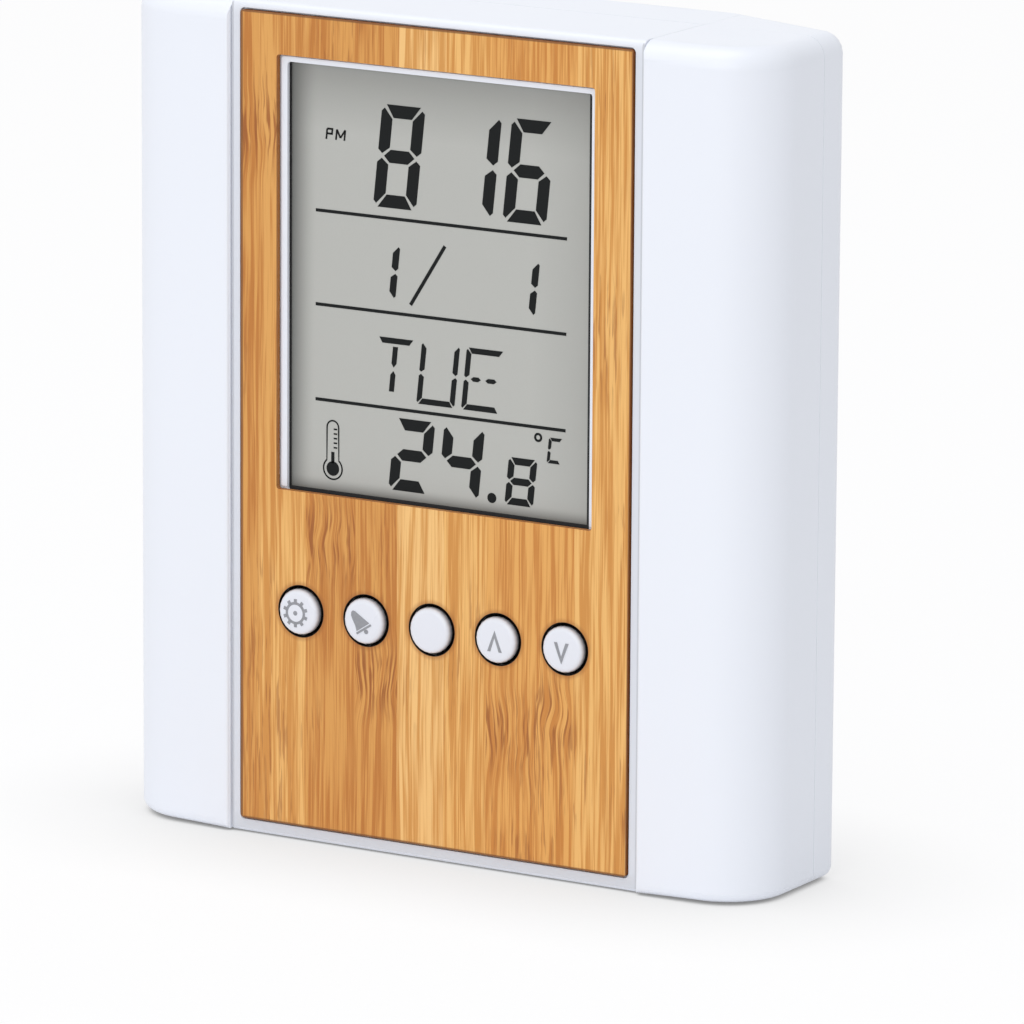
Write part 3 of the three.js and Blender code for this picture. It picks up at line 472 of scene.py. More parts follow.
def arc(centre, radius, start, end, count):
    """Points on an arc in turns of the full circle, ends included."""
    angles = [tau * (start + (end - start) * i / (count - 1)) for i in range(count)]
    return [(centre[0] + radius * cos(a), centre[1] + radius * sin(a)) for a in angles]


def circle(centre, radius, count):
    """Points round a circle."""
    return arc(centre, radius, 0.0, 1.0 - 1.0 / count, count)


def stroke(start, end, width):
    """Outline of a straight stroke with square ends."""
    along = Vector(end) - Vector(start)
    side = Vector((-along.y, along.x)).normalized() * (width / 2)
    corners = (Vector(start) + side, Vector(end) + side, Vector(end) - side, Vector(start) - side)
    return [tuple(corner) for corner in corners]


LIT_BARS = {"1": "bc", "2": "abdeg", "4": "bcfg", "6": "acdefg", "8": "abcdefg"}


def digit_bars(width, height, bar):
    """Outlines of a digit's seven bars, named a to g from the top round to the middle."""
    middle = height / 2
    gap = 0.1 * bar
    top = [
        (0.4 * bar, height),
        (width - 0.4 * bar, height),
        (width - bar - gap, height - bar),
        (bar + gap, height - bar),
    ]
    upper_left = [
        (0, height - 0.5 * bar),
        (0.24 * bar, height - 0.27 * bar),
        (bar, height - 1.1 * bar),
        (bar, middle + 0.66 * bar),
        (0.37 * bar, middle + 0.18 * bar),
        (0, middle + 0.5 * bar),
    ]
    centre = [
        (0.56 * bar, middle),
        (bar + gap, middle + bar / 2),
        (width - bar - gap, middle + bar / 2),
        (width - 0.56 * bar, middle),
        (width - bar - gap, middle - bar / 2),
        (bar + gap, middle - bar / 2),
    ]

    def turned(points):
        return [(x, height - z) for x, z in points]

    def mirrored(points):
        return [(width - x, z) for x, z in points]

    return {
        "a": top,
        "b": mirrored(upper_left),
        "c": mirrored(turned(upper_left)),
        "d": turned(top),
        "e": turned(upper_left),
        "f": upper_left,
        "g": centre,
    }


def leaning(points, origin, slant):
    """Upright outline moved to its place on the glass and leaned to the right."""
    return [(origin[0] + x + slant * z, origin[1] + z) for x, z in points]


def digit(name, origin, size, slant):
    """Outlines of one lit digit. Size is its width, height and bar."""
    bars = digit_bars(*size)
    return [leaning(bars[bar], origin, slant) for bar in LIT_BARS[name]]


LETTER = (5.45, 7.8, 0.72)
LETTER_STEP = 6.42
WEEKDAY_PLACE = (-9.85, 56.5)


def weekday_bars(slant):
    """Outlines of the weekday's three letters, drawn from thin bars."""
    width, height, bar = LETTER
    bars = digit_bars(*LETTER)
    middle = height / 2
    centre = width / 2
    gap = 0.5 * bar
    half = bar / 2
    upper_stem = [
        (centre - half, height - bar - gap),
        (centre + half, height - bar - gap),
        (centre + half, middle + gap + half),
        (centre, middle + gap * 0.6),
        (centre - half, middle + gap + half),
    ]
    lower_stem = [(x, height - z) for x, z in upper_stem]
    dash_ends = ((1.35 * bar, centre - 0.45 * bar), (centre + 0.45 * bar, width - 1.1 * bar))
    dashes = [
        [
            (low, middle),
            (low + half, middle + half * 0.8),
            (high - half, middle + half * 0.8),
            (high, middle),
            (high - half, middle - half * 0.8),
            (low + half, middle - half * 0.8),
        ]
        for low, high in dash_ends
    ]
    letters = (
        [bars["a"], upper_stem, lower_stem],
        [bars[bar_name] for bar_name in "bcdef"],
        [bars[bar_name] for bar_name in "adef"] + dashes,
    )
    left, base = WEEKDAY_PLACE
    return [
        leaning(outline, (left + i * LETTER_STEP, base), slant)
        for i, outlines in enumerate(letters)
        for outline in outlines
    ]


TIME_DIGIT = (6.16, 12.8, 1.62)
DATE_DIGIT = (3.5, 6.9, 0.95)
DEGREE_DIGIT = (5.8, 9.1, 1.45)
TENTH_DIGIT = (4.05, 5.95, 0.9)
UNIT_LETTER = (2.0, 3.2, 0.42)


def afternoon_mark(slant):
    """Strokes of the small afternoon mark beside the time."""
    low, high, pen = 88.12, 89.42, 0.24
    middle = (low + high) / 2 + 0.05
    left = -16.5
    strokes = [
        ((left, low), (left, high)),
        ((left, high), (left + 0.75, high)),
        ((left + 0.75, high + pen / 2), (left + 0.75, middle - pen / 2)),
        ((left, middle), (left + 0.75, middle)),
        ((left + 1.4, low), (left + 1.4, high)),
        ((left + 1.4, high), (left + 2.0, low + 0.3)),
        ((left + 2.0, low + 0.3), (left + 2.6, high)),
        ((left + 2.6, high), (left + 2.6, low)),
    ]
    outlines = [stroke(start, end, pen) for start, end in strokes]
    return [[(x + slant * (z - low), z) for x, z in outline] for outline in outlines]


def thermometer(mesh, front, back):
    """Adds the thermometer sign: glass outline, filled bulb, column and scale ticks."""
    axis, top, bulb = -15.47, 53.08, 46.95
    tube, ball, pen = 0.94, 1.45, 0.2
    opening = 0.138
    filling, column, column_top = 0.92, 0.46, 49.05
    ticks, first_tick, tick_step = 5, 49.6, 0.58

    def outline(inset):
        neck = tube - inset
        ball_radius = ball - inset
        crown = arc((axis, top - tube), neck, 0.0, 0.5, 13)
        round_bulb = arc((axis, bulb), ball_radius, 0.5 - opening, 1.0 + opening, 29)
        return crown + round_bulb

    add_ring(mesh, outline(0.0), outline(pen), front, back)
    add_prism(mesh, circle((axis, bulb), filling, 24), front, back)
    add_prism(mesh, stroke((axis, bulb + 0.7), (axis, column_top), column), front, back)
    for i in range(ticks):
        rise = first_tick + i * tick_step
        add_prism(mesh, stroke((axis + 0.12, rise), (axis + 0.62, rise), pen), front, back)


# stretches over which the painted shadow of the frame on the display fades out at each edge
LEFT_FADE = (-22.2 * MM, -17.5 * MM)
RIGHT_FADE = (21.4 * MM, 13.0 * MM)
TOP_FADE = (0.9 * MM, 9.2 * MM)
BOTTOM_FADE = (44.3 * MM, 46.3 * MM)
FADE_LEAN = 0.012


def glass_finish(settings):
    """Grey reflective display with a fine grain, darker towards the edges of its view by a painted
    shadow of its frame.
    """
    sockets = {"IOR": 1.5, "Roughness": 0.32, "Coat Weight": 0.25, "Coat Roughness": 0.12}
    made = Finish("display_glass", sockets)
    place = made.place()
    x, _, z = made.split(place)
    # painted shadow of the frame, darkest at the edges of the view
    down = made.calc("SUBTRACT", GLASS_HIGH.z, z)
    left = made.step(made.calc("ADD", x, made.calc("MULTIPLY", down, FADE_LEAN)), *LEFT_FADE)
    right = made.step(x, *RIGHT_FADE, False, 0.8, 1.0)
    top = made.step(down, *TOP_FADE, False, 0.58, 1.0)
    bottom = made.step(z, *BOTTOM_FADE, True, 0.3, 1.0)
    clear = made.calc("MULTIPLY", made.calc("MULTIPLY", left, right), made.calc("MULTIPLY", top, bottom))
    grain = made.noise(place, 9000.0, 2.0)
    tone = made.mix(grain, scaled(settings.glass, 0.96), scaled(settings.glass, 1.04))
    made.feed("Base Color", made.mix(clear, settings.border, tone))
    made.bump(grain, 0.03, 0.02 * MM)
    return made.material


def ink_finish(name, colour, roughness):
    """Printed or lit ink with a faint unevenness."""
    made = Finish(name, {"Roughness": roughness, "IOR": 1.45, "Specular IOR Level": 0.2})
    tone = made.noise(made.place(), 2400.0, 2.0)
    made.feed("Base Color", made.mix(tone, scaled(colour, 0.85), scaled(colour, 1.15)))
    return made.material


def rubber_finish(name, colour):
    """Dull rubber with a soft speckle."""
    made = Finish(name, {"IOR": 1.45})
    speck = made.noise(made.place(), 3000.0, 3.0)
    made.feed("Base Color", made.mix(speck, scaled(colour, 0.8), scaled(colour, 1.3)))
    made.feed("Roughness", made.spread(speck, 0.62, 0.78))
    made.bump(speck, 0.1, 0.03 * MM)
    return made.material


STRIPS = (
    (0.000, "brown", 0.13, 0.86),
    (0.046, "golden", 0.71, 0.86),
    (0.171, "brown", 0.35, 0.36),
    (0.300, "brown", 0.92, 0.20),
    (0.410, "pale", 0.24, 0.66),
    (0.530, "golden", 0.57, 0.84),
    (0.640, "tan", 0.05, 0.155),
    (0.766, "tan", 0.83, 0.185),
    (0.860, "golden", 0.48, 0.55),
    (0.930, "golden", 0.66, 0.55),
)
KNOTTED = (0.855, 0.865)
KNOT_REACH = (0.075, 0.01)
KNOT_SWERVE = 3.4 * MM
FIBRE_DRIFT = 1.2 * MM
BROWN_STRIP = (0.172, 0.165)
BROWN_RISE = (0.3, 0.55)

# noise cells in a metre across and along the strips, and the detail of the noise
WAVE_GRAIN = (150.0, 110.0, 1.0)
DRIFT_GRAIN = (60.0, 26.0, 1.0)
BROAD_GRAIN = (700.0, 14.0, 2.0)
FIBRE_GRAIN = (1500.0, 44.0, 3.0)
HAIR_GRAIN = (4600.0, 84.0, 1.0)
FLECK_GRAIN = (2500.0, 140.0, 2.0)
BROAD_SHARE, FIBRE_SHARE, HAIR_SHARE = 1.5, 4.9, 2.7
STREAK_DARK = (0.83, 0.7, 0.5, 1.0)
STREAK_LIGHT = (1.12, 1.24, 1.46, 1.0)
RIM_FADE = (0.3 * MM, 0.14 * MM)
RIM_SHIFT = 0.1 * MM
KEY_SHADE_REACH = 0.7 * MM


def bamboo_finish(settings, gap_shade):
    """Laminated bamboo: upright strips, fine fibres, dark dashes and rippled joints, with painted shade
    at its edges and round the keys.
    """
    made = Finish("bamboo_strips", {"IOR": 1.48, "Coat Weight": 0.08, "Coat Roughness": 0.4})
    place = made.place()
    x, _, z = made.split(place)
    across = made.step(x, PANEL_LOW.x, PANEL_HIGH.x, False)
    rise = made.step(z, PANEL_LOW.z, PANEL_HIGH.z, False)
    tones = [(start, tuple(getattr(settings, kind))) for start, kind, _, _ in STRIPS]
    shifts = [(start, (shift, shift, shift, 1.0)) for start, _, shift, _ in STRIPS]
    knots = [(start, (knot, knot, knot, 1.0)) for start, _, _, knot in STRIPS]
    tone = made.ramp(across, tones, "CONSTANT")
    seed = made.calc("MULTIPLY", made.ramp(across, shifts, "CONSTANT"), 40.0)
    joint = made.ramp(across, knots, "CONSTANT")

    def times(first, second):
        return made.calc("MULTIPLY", first, second)

    def plus(first, second):
        return made.calc("ADD", first, second)

    def minus(first, second):
        return made.calc("SUBTRACT", first, second)

    def grain(sideways, fine, long, detail):
        return made.noise(made.join(times(sideways, fine), seed, times(z, long)), 1.0, detail)

    # fibres swerve round the joints and drift a little elsewhere
    level = made.step(made.calc("ABSOLUTE", minus(rise, joint)), *KNOT_REACH)
    near = times(level, made.step(across, KNOTTED[1], KNOTTED[0]))
    wave = minus(grain(x, *WAVE_GRAIN), 0.5)
    drift = minus(grain(x, *DRIFT_GRAIN), 0.5)
    warped = plus(x, plus(times(times(wave, near), KNOT_SWERVE), times(drift, FIBRE_DRIFT)))

    # three widths of streak together darken or lighten the strip
    broad = grain(warped, *BROAD_GRAIN)
    fibre = grain(warped, *FIBRE_GRAIN)
    hair = grain(warped, *HAIR_GRAIN)
    middle = 0.5 - (BROAD_SHARE + FIBRE_SHARE + HAIR_SHARE) / 2
    fine = plus(times(fibre, FIBRE_SHARE), times(hair, HAIR_SHARE))
    streak = plus(fine, plus(times(broad, BROAD_SHARE), middle))
    light = made.mix(streak, STREAK_DARK, STREAK_LIGHT)
    corner = times(made.step(across, *BROWN_STRIP), made.step(rise, *BROWN_RISE, True, 0.0, 0.8))
    streaked = made.mix(1.0, made.mix(corner, tone, settings.brown), light, "MULTIPLY")

    # dark dashes, thick round the joints and thin in loose patches
    patch = made.step(made.noise(made.stretch(place, (110.0, 0.0, 40.0)), 1.0, 1.0), 0.45, 0.65)
    fleck = grain(warped, *FLECK_GRAIN)
    loose = times(made.step(fleck, 0.54, 0.64), times(patch, 0.55))
    thick = times(made.step(fleck, 0.48, 0.6), times(near, 0.85))
    dashes = made.calc("MAXIMUM", loose, thick)
    flecked = made.mix(dashes, streaked, settings.fibre)

    # painted shade on the cut edges and along the rim of the sheet, where the gaps round it fall dark
    side = minus(PANEL_HIGH.x, made.calc("ABSOLUTE", minus(x, RIM_SHIFT)))
    ends = made.calc("MINIMUM", minus(z, PANEL_LOW.z), minus(PANEL_HIGH.z, z))
    rim = made.step(made.calc("MINIMUM", side, ends), *RIM_FADE, True, 0.0, 0.85)
    _, facing, _ = made.split(made.add("TexCoord").outputs["Normal"])
    cut = made.step(facing, -0.9, -0.4, True, 0.0, 0.7)
    edge_shaded = made.mix(cut, made.mix(rim, flecked, settings.rim), settings.fibre)
    # painted shade round and down in the holes of the keys
    away = key_distance(made, place)
    hole_halo_shade = made.step(away, KEY_HOLE + KEY_SHADE_REACH, KEY_HOLE, True, 0.0, 0.45)
    shaded = made.mix(hole_halo_shade, edge_shaded, settings.fibre)
    made.feed("Base Color", made.mix(key_gap_shade(made, away), shaded, gap_shade))
    made.feed("Roughness", made.spread(fibre, 0.42, 0.58))
    made.bump(minus(times(fibre, 0.5), times(dashes, 0.5)), 0.08, 0.05 * MM)
    return made.material


FOOT_STEPS = 7
FOOT_TAPER = 8.0 * MM
FOOT_CHAMFER = 0.4 * MM
FACES_CENTRE = -0.05
FACES_PARTING = 0.95
FACE_DEPTH = (0.35 * MM, 0.2 * MM)
EDGE_STRIP = (0.36 * MM, 0.24 * MM)


def foot_inset(rise, radius):
    """How far the rounded foot lies inside the wall at a height above its base."""
    return radius - (radius ** 2 - (radius - min(rise, radius)) ** 2) ** 0.5


def outer_walls(mesh, sign, front):
    """The sides of a wing's plan that face outside, each as a point and a direction."""
    plan = [Vector((vertex.co.x * sign, vertex.co.y)) for vertex in mesh.verts]
    corners = [plan[i] for i in convex_hull_2d(plan)]
    middle = sum(corners, Vector((0.0, 0.0))) / len(corners)
    walls = []
    for start, end in zip(corners, corners[1:] + corners[:1]):
        along = end - start
        if along.length < 10 * WELD:
            continue
        outward = Vector((along.y, -along.x)).normalized()
        if outward.dot(start - middle) < 0.0:
            outward.negate()
        to_parting = outward.y if front else -outward.y
        if outward.x > FACES_CENTRE and to_parting < FACES_PARTING:
            walls.append((start, outward))
    return walls


def wing_cover(name, side, settings):
    """A wing shell's mesh with its foot rounded and the seams to its neighbours closed up."""
    low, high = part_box(name)
    radius, seam = settings.foot_radius, settings.seam
    front = low.y < 0.0
    sign = -1.0 if side == "left" else 1.0
    inner = min(abs(low.x), abs(high.x))
    parting = high.y if front else low.y
    mesh = bmesh.new()
    mesh.from_mesh(frame["nodes"][name].data)
    bmesh.ops.remove_doubles(mesh, verts=mesh.verts, dist=WELD)
    bmesh.ops.dissolve_limit(mesh, angle_limit=FLAT_ANGLE, verts=mesh.verts, edges=mesh.edges)
    walls = outer_walls(mesh, sign, front)

    # level cuts give the foot its steps
    for i in range(1, FOOT_STEPS):
        height = low.z + radius * (1.0 - cos(pi / 2 * i / FOOT_STEPS))
        parts = mesh.verts[:] + mesh.edges[:] + mesh.faces[:]
        point, up = (0, 0, height), (0, 0, 1)
        bmesh.ops.bisect_plane(mesh, geom=parts, dist=WELD, plane_co=point, plane_no=up)

    # points of the outer wall move in along a quarter round, less near the centre
    for vertex in mesh.verts:
        rise = vertex.co.z - low.z
        if rise >= radius:
            continue
        point = Vector((vertex.co.x * sign, vertex.co.y))
        depth, outward = min(((start - point).dot(outward), tuple(outward)) for start, outward in walls)
        outward = Vector(outward)
        vertex.co.z -= settings.foot_drop * (1.0 - rise / radius)
        eased = front and point.x < inner + FOOT_CHAMFER + WELD
        held = max(FOOT_CHAMFER - rise, 0.0)
        if depth > held + (FOOT_CHAMFER if eased else 0.0) + 5 * WELD:
            continue
        full = min((point.x - inner) / FOOT_TAPER, 1.0)
        local_radius = FOOT_CHAMFER + (radius - FOOT_CHAMFER) * full
        move = max(foot_inset(rise, local_radius) - held, 0.0)
        if point.x < inner + WELD:
            vertex.co.y -= move / abs(outward.y) * (1.0 if outward.y > 0 else -1.0)
        else:
            vertex.co.x -= sign * outward.x * move
            vertex.co.y -= outward.y * move

    # faces towards the centre and the other half close the seams
    for vertex in mesh.verts:
        if abs(abs(vertex.co.x) - inner) < WELD:
            gap = settings.groove if vertex.co.y < FRAME_LOW.y else seam
            vertex.co.x = sign * (FRAME_HIGH.x + gap)
        if abs(vertex.co.y - parting) < WELD:
            vertex.co.y = WING_PARTING + (-seam / 2 if front else seam / 2)
    return mesh


class CLOCK_OT_finish_shells(Operator):
    """Gives the housing, the battery door and the wings their moulded skin and soft edges, with painted
    shade on the front of the housing
    """

    bl_idname = "clock.finish_shells"
    bl_label = "Finish shells"

    def execute(self, context):
        settings = context.scene.clock_shell
        gap_shade = context.scene.clock_keys.gap_shade

        def housing_shade(finish, place, base):
            x, y, z = finish.split(place)
            _, facing, _ = finish.split(finish.add("TexCoord").outputs["Normal"])
            # painted shade: the frame's front greyer, darker towards the bottom and lighter at the top
            rise = finish.step(z, 0.0, FRAME_HIGH.z, False)
            shades = finish.ramp(rise, [(at, (level, level, level, 1.0)) for at, level in FRAME_SHADE])
            front = finish.step(y, *(FRAME_LOW.y + depth for depth in FACE_DEPTH))
            frame_face = finish.calc("MULTIPLY", front, finish.step(facing, -0.7, -0.95))
            frame_shaded = finish.mix(frame_face, base, finish.mix(1.0, base, shades, "MULTIPLY"))
            # painted shade on a thin strip of the frame's front beside each groove
            aside = finish.calc("ABSOLUTE", x)
            strip = finish.step(aside, *(FRAME_HIGH.x - inset for inset in EDGE_STRIP))
            edge = finish.calc("MULTIPLY", strip, frame_face)
            frame_shaded = finish.mix(edge, frame_shaded, scaled(settings.colour, settings.groove_shade))
            # painted shade down in the holes round the keys
            return finish.mix(key_gap_shade(finish, key_distance(finish, place)), frame_shaded, gap_shade)

        skin = moulded_finish("moulded_shell", settings.colour, settings.gloss)
        paint(SHELLS + ("battery_door",), skin)
        front_skin = moulded_finish("front_shell", settings.colour, settings.gloss, painted_shade=housing_shade)
        paint(("front_housing",), front_skin)
        soften(frame_nodes(SHELLS), settings.shell_edge)
        soften(frame_nodes(("battery_door",)), settings.shell_edge, join_flats=False)
        for side in SIDES:
            for half in ("front", "rear"):
                name = f"{side}_wing_{half}_shell"
                mesh = wing_cover(name, side, settings)
                cover = new_piece(f"{side}_wing_{half}_cover", mesh, skin, f"{side}_wing")
                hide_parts(name)
                soften((cover,), settings.wing_edge)
        return {"FINISHED"}


class CLOCK_OT_finish_trays(Operator):
    """Finishes the pen trays and the partition behind the clock"""

    bl_idname = "clock.finish_trays"
    bl_label = "Finish pen trays"

    def execute(self, context):
        settings = context.scene.clock_shell
        names = TRAYS + ("clock_back_plate",)
        paint(names, moulded_finish("tray_plastic", settings.tray_colour, settings.gloss + 0.12, 1100.0))
        soften(frame_nodes(names), settings.small_edge)
        return {"FINISHED"}


class CLOCK_OT_finish_panel(Operator):
    """Gives the front panel its laminated bamboo, painted shade and softened edges"""

    bl_idname = "clock.finish_panel"
    bl_label = "Finish bamboo panel"

    def execute(self, context):
        settings = context.scene.clock_bamboo
        paint(("bamboo_panel",), bamboo_finish(settings, context.scene.clock_keys.gap_shade))
        soften(frame_nodes(("bamboo_panel",)), settings.edge)
        return {"FINISHED"}


READOUT_DIGITS = {
    "readout_time": (
        ("8", (-9.74, 80.44), TIME_DIGIT),
        ("1", (1.13, 80.44), TIME_DIGIT),
        ("6", (8.72, 80.44), TIME_DIGIT),
    ),
    "readout_date": (
        ("1", (-10.0, 69.05), DATE_DIGIT),
        ("1", (9.88, 69.05), DATE_DIGIT),
    ),
    "readout_degrees": (
        ("2", (-7.41, 45.3), DEGREE_DIGIT),
        ("4", (-0.3, 45.3), DEGREE_DIGIT),
        ("8", (9.25, 45.4), TENTH_DIGIT),
    ),
}
DATE_SLASH = ((0.59, 76.47), (-4.3, 68.69), 0.46)
DECIMAL_POINT = ((7.46, 45.93), 0.64, 20)
RULE_ENDS, RULE_HEIGHTS, RULE_PEN = (-18.0, 17.85), (79.15, 67.41, 55.48), 0.4
UNIT_PLACE = (15.2, 51.2)
DEGREE_RING, RING_OUTER, RING_INNER = (13.99, 54.22), 0.58, 0.28
GASKET_OUTER = [(-22.4, 41.4), (22.4, 41.4), (22.4, 98.5), (-22.4, 98.5)]
GASKET_INNER = [(-21.5, 44.61), (21.02, 44.61), (21.02, 97.7), (-21.5, 97.7)]


class CLOCK_OT_build_display(Operator):
    """Finishes the display glass, and adds its gasket and the lit segments of the readout"""

    bl_idname = "clock.build_display"
    bl_label = "Build display"

    def execute(self, context):
        settings = context.scene.clock_display
        paint(("lcd_glass",), glass_finish(settings))
        ink = ink_finish("segment_ink", settings.ink, 0.55)
        front = GLASS_FACE - settings.lift
        back = GLASS_FACE + settings.lift / 3
        slant = settings.slant

        def plates(outlines):
            mesh = bmesh.new()
            for outline in outlines:
                add_prism(mesh, outline, front, back)
            return mesh

        def digits(group):
            return [bar for lit in READOUT_DIGITS[group] for bar in digit(*lit, slant)]

        unit_bars = digit_bars(*UNIT_LETTER)
        unit = [leaning(unit_bars[bar], UNIT_PLACE, slant) for bar in "adef"]
        left, right = RULE_ENDS
        rules = [stroke((left, rise), (right, rise), RULE_PEN) for rise in RULE_HEIGHTS]

        signs = plates(unit)
        thermometer(signs, front, back)
        rings = [circle(DEGREE_RING, radius, 20) for radius in (RING_OUTER, RING_INNER)]
        add_ring(signs, *rings, front, back)

        groups = {
            "readout_time": plates(digits("readout_time") + afternoon_mark(slant)),
            "readout_date": plates(digits("readout_date") + [stroke(*DATE_SLASH)]),
            "readout_weekday": plates(weekday_bars(slant)),
            "readout_degrees": plates(digits("readout_degrees") + [circle(*DECIMAL_POINT)]),
            "readout_signs": signs,
            "readout_rules": plates(rules),
        }
        for name, mesh in groups.items():
            bmesh.ops.translate(mesh, verts=mesh.verts, vec=(0.0, 0.0, READOUT_RISE))
            new_piece(name, mesh, ink, "clock_body")

        gasket = bmesh.new()
        add_ring(gasket, GASKET_OUTER, GASKET_INNER, GLASS_FACE - settings.gasket, back)
        rubber = rubber_finish("gasket_rubber", shade(22, 22, 24))
        new_piece("display_gasket", gasket, rubber, "clock_body")
        return {"FINISHED"}


def gear_mark(centre, pen):
    """Outlines of a gear: ring, teeth and hub."""
    rim, hub, count = 1.42, 0.3, 10
    root, tip = 1.36, 1.78
    ring = (circle(centre, rim, 40), circle(centre, rim - pen, 40))
    middle = Vector(centre)
    teeth = []
    for i in range(count):
        turn = tau * (i + 0.5) / count
        ray = Vector((cos(turn), sin(turn)))
        teeth.append(stroke(tuple(middle + ray * root), tuple(middle + ray * tip), pen * 1.25))
    return [ring], teeth + [circle(centre, hub, 16)]


def bell_mark(centre):
    """Outlines of a swinging bell: body, lip and clapper."""
    body = [
        (-1.42, 1.28), (-1.12, 1.24), (-0.62, 0.92), (-0.1, 0.5), (0.3, 0.2), (0.62, 0.04), (1.0, -0.06),
        (-0.86, -1.28), (-0.88, -0.9), (-1.1, -0.45), (-1.42, 0.1), (-1.66, 0.62), (-1.66, 1.05),
    ]
    lip = stroke((1.22, -0.26), (-0.86, -1.58), 0.26)
    clapper = circle((0.52, -1.2), 0.3, 14)
    return [], [[(centre[0] + x, centre[1] + z) for x, z in outline] for outline in (body, lip, clapper)]


def chevron_mark(centre, pen, up):
    """Outlines of an arrow head that points up or down."""
    lean = 1.0 if up else -1.0
    half, rise = 0.82, 1.05
    slope = Vector((half, 2 * rise)).normalized()
    wide = pen / 2 / slope.y
    tip = rise + wide * slope.y / slope.x
    points = [
        (-half - wide, -rise), (-half + wide, -rise), (0.0, rise - wide * slope.y / slope.x + wide),
        (half - wide, -rise), (half + wide, -rise), (0.0, tip),
    ]
    return [], [[(centre[0] + x, centre[1] + lean * z) for x, z in points]]


def cap_mesh(solid, settings):
    """A key cap's mesh, standing a little further out than its solid."""
    mesh = bmesh.new()
    mesh.from_mesh(frame["nodes"][solid].data)
    bmesh.ops.remove_doubles(mesh, verts=mesh.verts, dist=WELD)
    for vertex in mesh.verts:
        if vertex.co.y < PANEL_LOW.y:
            vertex.co.y -= settings.stand
    return mesh


def mark_mesh(rings, outlines, cap, settings):
    """A printed mark's mesh, laid on the face of its cap."""
    mesh = bmesh.new()

    def points(outline):
        return [mesh.verts.new((x * MM, 0.0, z * MM)) for x, z in outline]

    for outer, inner in rings:
        outside, inside = points(outer), points(inner)
        for i in range(len(outer)):
            j = (i + 1) % len(outer)
            mesh.faces.new((outside[i], outside[j], inside[j], inside[i]))
    for outline in outlines:
        mesh.faces.new(points(outline))
    bmesh.ops.triangulate(mesh, faces=mesh.faces)
    bmesh.ops.subdivide_edges(mesh, edges=mesh.edges, cuts=2, use_grid_fill=True)
    inwards = Vector((0.0, 1.0, 0.0))
    for vertex in mesh.verts:
        hit = cap.ray_cast(Vector((vertex.co.x, FRAME_LOW.y - 1.0, vertex.co.z)), inwards)[0]
        if hit is None:
            raise RuntimeError("A printed mark reaches past its cap")
        vertex.co.y = hit.y - settings.lift
    bmesh.ops.solidify(mesh, geom=mesh.faces[:], thickness=settings.lift * 1.5)
    return mesh


# depths from the panel's face over which painted shade darkens the caps' walls
WALL_SHADE = (-0.75 * MM, -0.1 * MM)
SUNK_SHADE = (-0.1 * MM, 0.25 * MM)
WALL_TONE = 0.22


class CLOCK_OT_build_keys(Operator):
    """Finishes the five key caps with painted shade on their walls, and prints their marks on the domes
    """

    bl_idname = "clock.build_keys"
    bl_label = "Build keys"

    def execute(self, context):
        settings = context.scene.clock_keys

        def sunk_wall_shade(finish, place, base):
            # painted shade: the caps' walls darker near the panel and dark below its face
            _, y, _ = finish.split(place)
            wall = finish.step(y, *(PANEL_LOW.y + depth for depth in WALL_SHADE), True, 0.0, 0.8)
            sunk = finish.step(y, *(PANEL_LOW.y + depth for depth in SUNK_SHADE))
            shaded = finish.mix(wall, base, scaled(settings.cap, WALL_TONE))
            return finish.mix(sunk, shaded, settings.gap_shade)

        plastic = moulded_finish("key_plastic", settings.cap, 0.26, painted_shade=sunk_wall_shade)
        ink = ink_finish("mark_ink", settings.mark, 0.5)
        pen = settings.stroke / MM
        marks = {
            1: ("key_mark_gear", (-0.3, -0.12), lambda centre: gear_mark(centre, pen * 0.8)),
            2: ("key_mark_bell", (0.0, 0.0), bell_mark),
            4: ("key_mark_up", (0.0, -0.36), lambda centre: chevron_mark(centre, pen, True)),
            5: ("key_mark_down", (0.0, -0.12), lambda centre: chevron_mark(centre, pen, False)),
        }
        for index, middle in enumerate(KEY_MIDDLES, 1):
            solid = f"button_cap_{index}"
            cap = cap_mesh(solid, settings)
            face = BVHTree.FromBMesh(cap)
            piece = new_piece(f"key_cap_{index}", cap, plastic, f"button_{index}")
            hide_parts(solid)
            soften((piece,), settings.edge, 4)
            if index not in marks:
                continue
            name, offset, draw = marks[index]
            rings, outlines = draw((middle.x / MM + offset[0], middle.z / MM + offset[1]))
            mesh = mark_mesh(rings, outlines, face, settings)
            new_piece(name, mesh, ink, f"button_{index}")
        return {"FINISHED"}


CELL_METAL = shade(190, 190, 188)
CELL_CAP = shade(196, 196, 192)
SLEEVE = shade(84, 106, 124)
SLEEVE_BAND = shade(206, 210, 214)
SLEEVE_SCUFF = shade(225, 225, 225)
SLEEVE_LOW, BAND_LOW, BAND_HIGH, SLEEVE_HIGH = 0.03, 0.80, 0.84, 0.955


